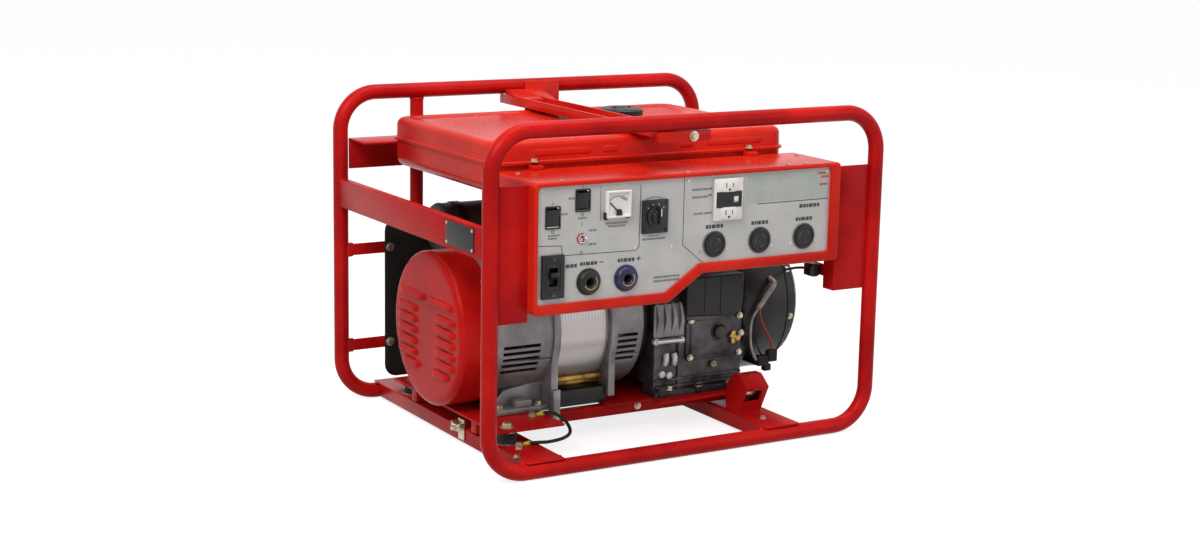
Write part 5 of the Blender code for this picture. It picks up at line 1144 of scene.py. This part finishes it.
def thicken(obj, thickness, offset=-1.0):
    wall = obj.modifiers.new("wall", "SOLIDIFY")
    wall.thickness = thickness
    wall.offset = offset
    settle(obj)
    bm = bmesh.new()
    bm.from_mesh(obj.data)
    bmesh.ops.recalc_face_normals(bm, faces=bm.faces)
    bm.to_mesh(obj.data)
    bm.free()
    obj.data.shade_smooth()
    obj.data.set_sharp_from_angle(angle=math.radians(40))


def makeDrum():
    left, right, radius, wall, rim = (drum[k] for k in ("left", "right", "radius", "wall", "rim"))
    outer = [(left, 0.0001), (left, radius - rim)]
    for i in range(1, 9):
        turn = math.pi / 2 * i / 8
        outer.append((left + rim * 0.8 * (1 - math.cos(turn)), radius - rim * (1 - math.sin(turn))))
    outer += [(right - 0.0006, radius), (right, radius - 0.0006), (right, radius - wall - 0.006)]
    inner = [(right - wall, radius - wall - 0.006), (right - wall, radius - wall)]
    for i in range(8, -1, -1):
        turn = math.pi / 2 * i / 8
        inner.append((left + wall + (rim * 0.8 - wall) * (1 - math.cos(turn)),
                      radius - wall - (rim - wall) * (1 - math.sin(turn))))
    inner += [(left + wall, 0.0001)]
    bm = lathe(bmesh.new(), outer + inner, "X", (0, 0, shaftZ), drum["steps"])
    cover = meshObject("drumCover", bm, smooth=0)
    cutter = bmesh.new()
    for y, z, length in louvreRows:
        block(cutter, (left - 0.01, y - length / 2 + 0.002, z - 0.0036),
              (left + wall + 0.001, y + length / 2 - 0.002, z - 0.0002))
    tool = meshObject("drumSlots", cutter, smooth=0)
    slots = cover.modifiers.new("slots", "BOOLEAN")
    slots.operation, slots.solver, slots.object = "DIFFERENCE", "EXACT", tool
    settle(cover)
    bpy.data.objects.remove(tool)
    cover.data.shade_smooth()
    cover.data.set_sharp_from_angle(angle=math.radians(30))
    keep(cover, "drumRed", replaces=("generator_end_cover",))
    tree = makeLouvreTree()
    groups = {}
    for y, z, length in louvreRows:
        groups.setdefault(length, []).append((left + 0.0004, y, z + 0.0018))
    for i, (length, points) in enumerate(groups.items()):
        values = {"Length": length, "Height": drum["louvreHeight"], "Depth": drum["louvreDepth"]}
        obj = runTree(f"drumLouvres{i}", tree, pointCloud(aimed(points, toTop)), values, "drumRed")
        thicken(obj, drum["sheet"], 1.0)
    bolts("drumScrews", [(onShaft(right - 0.008, radius - 0.0002, a), outward(a)) for a in (10, 80, 135, 300)])


stator = {"left": -0.1477, "right": -0.0533, "radius": 0.118, "bore": 0.096, "studs": (48, 132, 228, 312),
          "studRing": 0.1222, "groove": 0.00012, "groovePitch": 0.0055}


def makeStator():
    left, right, radius, bore = (stator[k] for k in ("left", "right", "radius", "bore"))
    profile = [(left, bore), (left, radius - 0.0012), (left + 0.0012, radius)]
    x = left + 0.006
    while x < right - 0.008:  # fine grooves between the packets of laminations
        profile += [(x, radius), (x + 0.0003, radius - stator["groove"]), (x + 0.0006, radius)]
        x += stator["groovePitch"]
    profile += [(right - 0.0012, radius), (right, radius - 0.0012), (right, bore)]
    bm = lathe(bmesh.new(), profile, "X", (0, 0, shaftZ), 120, closed=True)
    piece("statorCore", bm, "turnedAlloy", replaces=("stator_core",), smooth=50)
    bm = bmesh.new()
    for angle in stator["studs"]:
        tube(bm, [onShaft(x, stator["studRing"], angle) for x in (left - 0.010, right + 0.010)], 0.0026, 14)
    piece("statorStuds", bm, "zinc")
    bm = bmesh.new()  # varnished lead covers under the core
    for z, low, high in ((0.0985, 0.0945, 0.1022), (0.0870, 0.0835, 0.0905)):
        edge = math.sqrt(max(radius ** 2 - (shaftZ - z) ** 2, 0))
        extrude(bm, [(-edge - 0.0155, low), (-edge + 0.010, low), (-edge + 0.010, high), (-edge - 0.0155, high)], "X",
                left + 0.001, right - 0.001)
    piece("statorBands", bm, "goldFoil", bevel=0.0012)
    bm = bmesh.new()
    edge = math.sqrt(radius ** 2 - (shaftZ - 0.092) ** 2)
    extrude(bm, [(-edge - 0.0120, 0.0903), (-edge + 0.010, 0.0903), (-edge + 0.010, 0.0947), (-edge - 0.0120, 0.0947)],
            "X", left + 0.001, right - 0.001)
    extrude(bm, [(-0.112, 0.0560), (-0.070, 0.0560), (-0.070, 0.0830), (-0.112, 0.0830)], "X",
            left + 0.001, right - 0.001)
    piece("statorBase", bm, "blackPaint", bevel=0.001)
    paintNode("stator_windings", "copper")


def makeBrackets():
    softened("generator_rear_bracket", "bracketAlloy", 0.0012, angle=30)
    softened("generator_front_bracket", "bracketAlloy", 0.0012, angle=30)
    for node, finish in (("rotor", "brightSteel"), ("crankshaft", "brightSteel"), ("flywheel", "castAlloy")):
        paintNode(node, finish)
    bm = bmesh.new()
    for x0, x1, angles in ((-0.2560, -0.1620, (35, 90, 145, 200, 340)), (-0.0400, 0.0060, (35, 90, 145, 205, 335))):
        for angle in angles:  # cast ribs along the brackets
            turn = Matrix.Translation((0, 0, shaftZ)) @ Matrix.Rotation(math.radians(angle), 4, "X")
            part = bmesh.new()
            skin(part, [[(x0, 0.1200, -0.0026), (x0, 0.1200, 0.0026), (x0, 0.1222, 0.0018), (x0, 0.1222, -0.0018)],
                        [(x1, 0.1200, -0.0026), (x1, 0.1200, 0.0026), (x1, 0.1256, 0.0018), (x1, 0.1256, -0.0018)]])
            bmesh.ops.transform(part, matrix=turn, verts=part.verts)
            mesh = bpy.data.meshes.new("part")
            part.to_mesh(mesh)
            part.free()
            bm.from_mesh(mesh)
            bpy.data.meshes.remove(mesh)
    piece("bracketRibs", bm, "bracketAlloy", bevel=0.0006)
    bm = bmesh.new()  # cast feet of the rear bracket, with a web each
    for side in (-1, 1):
        near, far = mirrored(side, 0.070, 0.112)
        block(bm, (-0.2560, near, 0.0545), (-0.1610, far, 0.0640))
        near, far = mirrored(side, 0.082, 0.088)
        extrude(bm, [(-0.2540, 0.0630), (-0.1610, 0.0630), (-0.1610, 0.1000), (-0.2300, 0.0900)], "Y", near, far)
        near, far = mirrored(side, 0.092, 0.110)
        block(bm, (-0.2200, near, 0.0630), (-0.1900, far, 0.0760))
    piece("bracketFeet", bm, "bracketAlloy", bevel=0.0022, segments=3)
    points = [(x, side * 0.101, 0.0640) for x in (-0.245, -0.175) for side in (-1, 1)]
    bolts("bracketFootBolts", aimed(points, toTop))
    places = []
    for angle in stator["studs"]:
        places += [(onShaft(-0.1600, stator["studRing"], angle), toLeft),
                   (onShaft(-0.0410, stator["studRing"], angle), toRight)]
    bolts("bracketNuts", places)
    bm = lathe(bmesh.new(), ((0.0103, 0.110), (0.0103, 0.0990), (0.0300, 0.0990), (0.0300, 0.110)), "X",
               (0, 0, shaftZ), 80, closed=True)
    piece("couplingGuard", bm, "shroudBlack", bevel=0.0008)


makeDrum()
makeStator()
makeBrackets()
print("generator ready")


caseFront = -0.122
oilPort = (0.154, 0.157)
coverBolts = ((0.0985, 0.1805), (0.1965, 0.1805), (0.0985, 0.1175), (0.1965, 0.1175), (0.1467, 0.1016),
              (0.2000, 0.1500))


def bossRow(bm, places, axis, radius, depth, sides=28):
    for centre in places:
        start = partAlong(axis, centre)
        lathe(bm, ((start, 0.0001), (start, radius), (start - depth * 0.85, radius * 0.96),
                   (start - depth, radius * 0.86), (start - depth, 0.0001)), axis, centre, sides)


def makeCrankcase():
    softened("crankcase", "castAlloy", 0.0030, segments=3)
    front = caseFront
    bm = bmesh.new()  # four bowed ribs beside the coupling
    for i in range(4):
        x = 0.0345 + 0.0150 * i
        points = []
        for k in range(13):
            t = k / 12
            bow = 0.0040 * math.sin(math.pi * min(t * 1.1, 1))
            points.append((x + 0.0042 * math.sin(math.pi * t), front - 0.0005 - bow, 0.214 - 0.056 * t))
        tube(bm, points, 0.0042, 14, taper=lambda t: 0.8 + 0.25 * math.sin(math.pi * t))
    extrude(bm, roundOutline(0.0290, 0.0880, 0.1560, 0.2120, 0.004), "Y", front - 0.0022, front + 0.001)
    piece("caseRibs", bm, "bracketAlloy", bevel=0.0006, smooth=50)
    bm = bmesh.new()
    tube(bm, [(0.0330, front - 0.0040, 0.1500), (0.0560, front - 0.0052, 0.1500), (0.0830, front - 0.0040, 0.1488)],
         0.0044, 18)
    for x, z in ((0.0330, 0.1500), (0.0830, 0.1488)):
        lathe(bm, ((front + 0.001, 0.0062), (front - 0.0050, 0.0060), (front - 0.0064, 0.0046),
                   (front - 0.0064, 0.0001)), "Y", (x, 0, z), 28)
    piece("caseBar", bm, "turnedAlloy", smooth=50)
    bm = bmesh.new()  # drain plugs on their bosses
    for x, z, tilt in ((0.0520, 0.1190, 0.0010), (0.0690, 0.1180, -0.0008)):
        tube(bm, [(x + tilt, front - 0.0030, z + 0.0095), (x, front - 0.0055, z + 0.0030),
                  (x, front - 0.0055, z - 0.0040), (x - tilt, front - 0.0030, z - 0.0095)], 0.0052, 20)
    for x, z in ((0.0420, 0.0955), (0.0560, 0.0925)):
        tube(bm, [(x, front + 0.001, z), (x, front - 0.0120, z)], 0.0058, 20)
    piece("drainPlugs", bm, "turnedAlloy", bevel=0.0005, smooth=50)
    bm = bmesh.new()  # cover plate, its flange and the sump line
    for outline, proud, sunk in (((0.0920, 0.2030, 0.1110, 0.1870, 0.010), 0.0035, 0.001),
                                 ((0.1000, 0.1950, 0.1180, 0.1800, 0.008), 0.0060, -0.0030),
                                 ((0.0335, 0.2045, 0.0800, 0.0850, 0.0020), 0.0040, 0.001),
                                 ((0.0335, 0.2045, 0.0690, 0.0740, 0.0020), 0.0060, 0.001),
                                 ((0.0760, 0.0860, 0.0620, 0.1500, 0.0030), 0.0050, 0.001)):
        extrude(bm, roundOutline(*outline), "Y", front - proud, front + sunk)
    piece("caseCover", bm, "castAlloy", bevel=0.0012, segments=3)
    bm = bmesh.new()
    bossRow(bm, [(x, front - 0.0030, z) for x, z in coverBolts], "Y", 0.0068, 0.0040)
    bossRow(bm, [(oilPort[0], front + 0.001, oilPort[1])], "Y", 0.0190, 0.0078, 48)
    bossRow(bm, [(x, front - 0.0050, 0.0640) for x in (0.119, 0.0450, 0.1850)], "Y", 0.0085, 0.0040)
    piece("caseBosses", bm, "castAlloy", bevel=0.0005)
    bolts("caseBolts", aimed([(x, front - 0.0068, z) for x, z in coverBolts], toFront))
    points = [(x, -0.125, 0.0665) for x in (0.060, 0.119, 0.180)] + [(x, 0.098, 0.0664) for x in (0.060, 0.180)]
    bolts("footBolts", aimed(points, toTop))
    bm = bmesh.new()  # ring round the oil filler
    lathe(bm, ((front - 0.0070, 0.0150), (front - 0.0100, 0.0150), (front - 0.0100, 0.0128), (front - 0.0070, 0.0128)),
          "Y", (oilPort[0], 0, oilPort[1]), 48, closed=True)
    piece("oilRing", bm, "oilBrown", bevel=0.0004)
    bm = bmesh.new()  # level switch in yellow plate
    extrude(bm, roundOutline(0.1780, 0.1860, 0.1340, 0.1560, 0.0030), "Y", front - 0.0120, front - 0.0055)
    tube(bm, [(0.1740, front - 0.0105, 0.1480), (0.1960, front - 0.0105, 0.1440)], 0.0032, 14)
    lathe(bm, ((front - 0.0055, 0.0058), (front - 0.0130, 0.0056), (front - 0.0140, 0.0040), (front - 0.0140, 0.0001)),
          "Y", (0.1900, 0, 0.1430), 6)
    piece("levelSwitch", bm, "brass", bevel=0.0005)


def makeOilCap():
    seat = middleOf("oil_filler_cap")[2].y
    x, z = oilPort
    rings = []
    for i in range(96):
        angle = 2 * math.pi * i / 96
        edge = 0.0115 - 0.0007 * (0.5 - 0.5 * math.cos(angle * 16))
        profile = [(seat, 0.0002), (seat, 0.0138), (seat - 0.0036, 0.0139), (seat - 0.0040, 0.0134),
                   (seat - 0.0040, edge), (seat - 0.0136, edge), (seat - 0.0150, edge - 0.0014),
                   (seat - 0.0158, 0.0080), (seat - 0.0158, 0.0002)]
        rings.append([(x + r * math.cos(angle), y, z + r * math.sin(angle)) for y, r in profile])
    piece("oilCapSkin", wind(bmesh.new(), rings), "oilBrown", "oil_filler_cap", ("oil_filler_cap",), smooth=40)


def makeShroud():
    softened("fan_housing", "shroudBlack", 0.0010, angle=30)
    softened("recoil_cover", "shroudBlack", 0.0010, angle=30)
    front = caseFront
    bm = bmesh.new()  # control box on the front of the case
    outline = [(0.083, 0.1905), (0.178, 0.1840), (0.196, 0.2060), (0.196, 0.2560), (0.083, 0.2560)]
    extrude(bm, outline, "Y", front - 0.0180, front + 0.0600)
    piece("controlBox", bm, "shroudBlack", bevel=0.0035, segments=3)
    bm = bmesh.new()
    extrude(bm, [(0.0855, 0.1830), (0.1770, 0.1765), (0.1780, 0.1842), (0.0850, 0.1905)], "Y", front - 0.0130, front)
    piece("controlBoxFoot", bm, "castAlloy", bevel=0.0015)
    bm = bmesh.new()
    for x in (0.118, 0.150):
        extrude(bm, [(x - 0.0012, 0.1900), (x + 0.0012, 0.1900), (x + 0.0012, 0.2540), (x - 0.0012, 0.2540)], "Y",
                front - 0.0190, front - 0.0170)
    piece("controlBoxRibs", bm, "shroudBlack", bevel=0.0006)
    rim = lathe(bmesh.new(), ((0.2975, 0.1268), (0.2975, 0.1238), (0.3002, 0.1238), (0.3002, 0.1268)), "X",
                (0, 0, shaftZ), 96, closed=True)
    piece("housingRim", rim, "shroudBlack", bevel=0.0006)
    bolts("housingBolts", aimed([onShaft(0.3019, 0.1176, a) for a in (40, 130, 220, 310)], toRight))
    bolts("recoilBolts", [(onShaft(0.3150, 0.1115, a), outward(a)) for a in (70, 190)])


def makeCylinderParts():
    softened("cylinder", "castAlloy", 0.0010)
    softened("carburettor", "castAlloy", 0.0030, segments=3)
    softened("air_cleaner", "blackPlastic", 0.0060, segments=4)
    softened("choke_lever", "brightSteel", 0.0005, body="choke_lever")
    tilt = math.radians(25)

    def leaning(x, t, p):
        return (x, t * math.cos(tilt) - p * math.sin(tilt), shaftZ + t * math.sin(tilt) + p * math.cos(tilt))

    bm = bmesh.new()  # rocker cover on the head
    rings = []
    for t, grow in ((0.2520, 0.000), (0.2560, 0.000), (0.2560, -0.004), (0.2700, -0.005), (0.2730, -0.010)):
        half = 0.046 + grow
        rings.append([leaning(0.110 + a, t, b) for a, b in roundOutline(-half, half, -half * 0.8, half * 0.8, 0.010)])
    skin(bm, rings)
    piece("rockerCover", bm, "castAlloy", bevel=0.0010)
    bm = bmesh.new()
    tube(bm, [leaning(0.0520, 0.228, -0.020), leaning(0.0400, 0.229, -0.022), leaning(0.0300, 0.230, -0.024)], 0.0075,
         20, taper=lambda t: 1.0 - 0.25 * t)
    piece("plugCap", bm, "rubber", bevel=0.001)
    bm = bmesh.new()
    tube(bm, smoothRoute([leaning(0.0310, 0.230, -0.024), (0.0220, 0.150, 0.262), (0.0300, 0.080, 0.288),
                          (0.0900, 0.020, 0.300), (0.1800, -0.020, 0.300), (0.2150, -0.030, 0.285)]), 0.0034, 14)
    piece("plugLead", bm, "rubber")
    bm = bmesh.new()  # carburettor bowl and flange
    lathe(bm, ((0.2725, 0.0001), (0.2725, 0.0185), (0.2560, 0.0185), (0.2490, 0.0165), (0.2460, 0.0110),
               (0.2460, 0.0001)), "Z", (0.1850, 0.130, 0), 48)
    lathe(bm, ((0.2460, 0.0045), (0.2420, 0.0045), (0.2420, 0.0001)), "Z", (0.1850, 0.130, 0), 6)
    piece("carburettorBowl", bm, "bracketAlloy", bevel=0.0008)
    bm = extrude(bmesh.new(), roundOutline(0.1840, 0.3010, 0.0540, 0.1960, 0.016), "Z", 0.3600, 0.3635)
    piece("airCleanerSeam", bm, "blackPlastic", bevel=0.0008)
    bm = bmesh.new()
    for y in (0.090, 0.160):
        tube(bm, smoothRoute([(0.3006, y, 0.338), (0.3028, y, 0.350), (0.3034, y, 0.366), (0.3010, y, 0.380),
                              (0.2980, y, 0.3870)], 5), 0.0011, 8)
    piece("airCleanerClips", bm, "brightSteel")
    bm = bmesh.new()
    tube(bm, smoothRoute([(0.120, 0.040, 0.4205), (0.120, 0.040, 0.405), (0.128, 0.052, 0.380), (0.150, 0.080, 0.345),
                          (0.172, 0.094, 0.310), (0.188, 0.098, 0.292)]), 0.0042, 16)
    piece("fuelHose", bm, "rubber")
    bm = lathe(bmesh.new(), ((0.4215, 0.0075), (0.4080, 0.0075), (0.4060, 0.0055), (0.4060, 0.0001)), "Z",
               (0.120, 0.040, 0), 28)
    piece("fuelTap", bm, "brass", bevel=0.0005)


muffler = {"y": 0.200, "z": 0.306, "radius": 0.043, "left": -0.215, "right": -0.025, "outlet": 0.0100,
           "outletBore": 0.0086, "straps": (-0.175, -0.065)}


def makeMuffler():
    y, z, radius, left, right = (muffler[k] for k in ("y", "z", "radius", "left", "right"))
    profile = [(left, 0.0001), (left, 0.030), (left + 0.0015, 0.0350), (left + 0.004, 0.0400), (left + 0.008, 0.0424),
               (left + 0.010, radius), (left + 0.013, radius), (left + 0.0145, 0.0422), (right - 0.0145, 0.0422),
               (right - 0.013, radius), (right - 0.010, radius), (right - 0.008, 0.0424), (right - 0.004, 0.0400),
               (right - 0.0015, 0.0350), (right, 0.030), (right, 0.0150), (0.0380, 0.0150), (0.0382, 0.0200),
               (0.0440, 0.0200), (0.0442, 0.0150), (0.0497, 0.0150), (0.0497, 0.0001)]
    bm = lathe(bmesh.new(), profile, "X", (0, y, z), 80)
    piece("mufflerShell", bm, "mufflerGrey", replaces=("muffler",), smooth=50)
    bm = bmesh.new()
    outlet, inner = ([(y + 0.010 + r * math.cos(2 * math.pi * i / 28), z - 0.004 + r * math.sin(2 * math.pi * i / 28))
                      for i in range(28)] for r in (muffler["outlet"], muffler["outletBore"]))
    rings = [[(x, a, b) for a, b in ring] for ring, x in ((outlet, left + 0.001), (outlet, left - 0.016),
                                                        (inner, left - 0.016), (inner, left - 0.001))]
    skin(bm, rings)
    piece("exhaustOutlet", bm, "mufflerGrey", bevel=0.0003)
    bm = bmesh.new()
    for x in muffler["straps"]:
        outline = arcPoints((y, z), radius + 0.0012, -60, 240, 32)
        inside = arcPoints((y, z), radius - 0.0004, 240, -60, 32)
        extrude(bm, outline + inside, "X", x - 0.007, x + 0.007)
        block(bm, (x - 0.007, y + 0.0395, z - 0.008), (x + 0.007, 0.2578, z + 0.008))
    piece("mufflerStraps", bm, "blackPaint", bevel=0.0004)


wireRuns = {  # finish, then radius, sides and route of each run
    "wireSleeves": ("sleeveGrey", (
        (0.0042, 16, ((0.2660, -0.1150, 0.2360), (0.2630, -0.1320, 0.2290), (0.2470, -0.1340, 0.2100),
                      (0.2310, -0.1350, 0.1910))),
        (0.0021, 12, ((0.2320, -0.1345, 0.1920), (0.2190, -0.1350, 0.1740), (0.2155, -0.1350, 0.1540),
                      (0.2180, -0.1350, 0.1250), (0.2280, -0.1355, 0.1030), (0.2440, -0.1355, 0.0960))))),
    "wireRedLead": ("wireRed", (
        (0.0018, 12, ((0.2320, -0.1355, 0.1920), (0.2360, -0.1360, 0.1700), (0.2500, -0.1365, 0.1430),
                      (0.2600, -0.1360, 0.1250), (0.2560, -0.1355, 0.1080))),)),
    "wireBlackLeads": ("rubber", (
        (0.0016, 12, ((0.2320, -0.1345, 0.1920), (0.2250, -0.1340, 0.1700), (0.2260, -0.1345, 0.1400),
                      (0.2340, -0.1350, 0.1180), (0.2420, -0.1350, 0.1060))),
        (0.0018, 12, ((0.2460, -0.1340, 0.0960), (0.2600, -0.1300, 0.0860), (0.2620, -0.1220, 0.0900),
                      (0.2560, -0.1120, 0.1000))))),
}


def makeWires():
    for name, (finish, runs) in wireRuns.items():
        bm = bmesh.new()
        for radius, sides, route in runs:
            tube(bm, smoothRoute(route), radius, sides)
        keep(meshObject(name, bm, smooth=50), finish)
    bm = bmesh.new()
    for low, high in (((0.2300, -0.1410, 0.0900), (0.2520, -0.1280, 0.1080)),
                      ((0.2500, -0.1430, 0.0960), (0.2680, -0.1300, 0.1160)),
                      ((0.2440, -0.1400, 0.0800), (0.2580, -0.1280, 0.0920))):
        block(bm, low, high)
    piece("wireConnectors", bm, "rubber", bevel=0.0022, segments=3)
    bm = bmesh.new()  # bracket that carries the connectors off the housing
    extrude(bm, [(-0.128, 0.088), (-0.080, 0.088), (-0.080, 0.092), (-0.128, 0.092)], "X", 0.2360, 0.2560)
    piece("wireBracket", bm, "shroudBlack", bevel=0.0008)


ropeShape = {"radius": 0.0022, "strands": 3, "sides": 24, "twist": 0.5}


def makeStarter():
    softened("starter_grip", "blackPlastic", 0.0030, body="starter_grip", segments=4)
    centre, low, high = middleOf("starter_grip")
    route = [(0.2639, high.y + 0.0011, 0.273), (0.270, -0.200, 0.269), (0.286, -0.160, 0.260), (0.314, -0.0960, 0.2430)]
    path = smoothRoute(route, 14)
    bm = bmesh.new()
    rings = []
    points = [Vector(p) for p in path]
    side = Vector((0, 0, 1))
    strands, sides, twist = ropeShape["strands"], ropeShape["sides"], ropeShape["twist"]
    for i, point in enumerate(points):
        ahead = (points[min(i + 1, len(points) - 1)] - points[max(i - 1, 0)]).normalized()
        side = (side - ahead * side.dot(ahead)).normalized()
        up = ahead.cross(side)
        ring = []
        for k in range(sides):
            angle = 2 * math.pi * k / sides + i * twist
            size = ropeShape["radius"] * (0.90 + 0.10 * abs(math.cos(angle * strands - i * strands * twist)))
            ring.append(point + size * (math.cos(angle) * side + math.sin(angle) * up))
        rings.append(ring)
    skin(bm, rings)
    rope = keep(meshObject("starterRope", bm, smooth=60), "rubber", None, ("starter_rope",))
    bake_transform(rope)
    bm = lathe(bmesh.new(), ((low.y - 0.0002, 0.0034), (low.y - 0.0014, 0.0030), (low.y - 0.0014, 0.0001)), "Y",
               (centre.x, 0, centre.z), 24)
    piece("gripPlug", bm, "rubber", "starter_grip")
    bm = lathe(bmesh.new(), ((0.3090, 0.0001), (0.3090, 0.0060), (0.3165, 0.0055), (0.3165, 0.0001)), "X",
               (0, -0.0965, 0.2434), 24)
    piece("ropeEyelet", bm, "brightSteel", bevel=0.0008)


makeCrankcase()
makeOilCap()
makeShroud()
makeCylinderParts()
makeMuffler()
makeWires()
makeStarter()
print("engine ready")


bondRoute = [(-0.188, -0.134, 0.0575), (-0.170, -0.138, 0.0580), (-0.156, -0.147, 0.0500), (-0.151, -0.160, 0.0400),
             (-0.158, -0.177, 0.0330), (-0.178, -0.191, 0.0305), (-0.208, -0.200, 0.0310), (-0.230, -0.200, 0.0325),
             (-0.247, -0.197, 0.0325)]


def makeBond():
    bm = tube(bmesh.new(), smoothRoute(bondRoute, 10), 0.0028, 20)
    piece("bondWire", bm, "rubber", replaces=("bond_wire",), smooth=50)
    bm = bmesh.new()
    for (x, y, z), (dx, dy) in (((-0.188, -0.134, 0.0572), (-0.014, 0.003)),
                                ((-0.246, -0.197, 0.0322), (-0.013, 0.003))):
        tube(bm, [(x + 0.006, y, z), (x, y, z), (x + dx * 0.5, y + dy * 0.5, z - 0.001)], 0.0036, 16,
             taper=lambda t: 1.0 if t < 0.7 else 0.7)
        lathe(bm, ((z - 0.0030, 0.0062), (z - 0.0014, 0.0062), (z - 0.0014, 0.0022), (z - 0.0030, 0.0022)), "Z",
              (x + dx, y + dy, 0), 28, closed=True)
    piece("bondLugs", bm, "wireGreen", smooth=50)
    bolts("bondBolts", aimed([(-0.202, -0.131, 0.0545), (-0.259, -0.194, 0.0290)], toTop))
    softened("earth_terminal", "zinc", 0.0006)
    softened("earth_wing_nut", "zinc", 0.0012, body="earth_wing_nut", segments=3)


bedTop, memberTop, consoleTop = 0.0541, 0.0287, 0.4591


def makeFrameBolts():
    centres = [middleOf(node)[0] for node in mountNodes]
    bolts("mountBolts", aimed([(c.x, c.y, bedTop) for c in centres], toTop))
    points = [(x, y, memberTop) for x, y in ((-0.266, -0.206), (-0.290, -0.245), (0.1775, -0.2320), (-0.266, 0.206))]
    bolts("memberBolts", aimed(points, toTop))
    places = aimed([(0.0040, -0.1182, 0.0440), (-0.1550, -0.1275, 0.0480)], toFront)
    places += aimed([(-0.1550, 0.1275, 0.0480)], toBack)
    bolts("railBolts", places)
    places = aimed([(-0.025, side * 0.102, 0.5090) for side in (1, -1)], toTop)
    places += aimed([(-0.008, -0.2829, 0.5135)], toFront)
    bolts("liftBolts", places)
    points = [(x, 0.2577, z) for x, z in ((-0.271, 0.268), (-0.271, 0.101), (-0.045, 0.300), (-0.045, 0.055),
                                          (-0.150, 0.300))]
    bolts("shieldBolts", aimed(points, toFront))
    points = [(x, -0.286, consoleTop) for x in (-0.243, 0.170, 0.205, -0.020)]
    points += [(x, -0.200, consoleTop) for x in (0.250, -0.270)]
    bolts("consoleTopScrews", aimed(points, toTop), sides=16)
    bm = extrude(bmesh.new(), roundOutline(-0.2400, -0.1480, 0.3505, 0.3880, 0.003), "X", -0.3652, -0.3634)
    piece("railPlate", bm, "blackPaint", bevel=0.0004)
    points = [(-0.3652, y, z) for y in (-0.2360, -0.1520) for z in (0.3545, 0.3840)]
    bolts("railPlateRivets", aimed(points, toLeft), sides=16)


makeBond()
makeFrameBolts()
print("fittings ready")
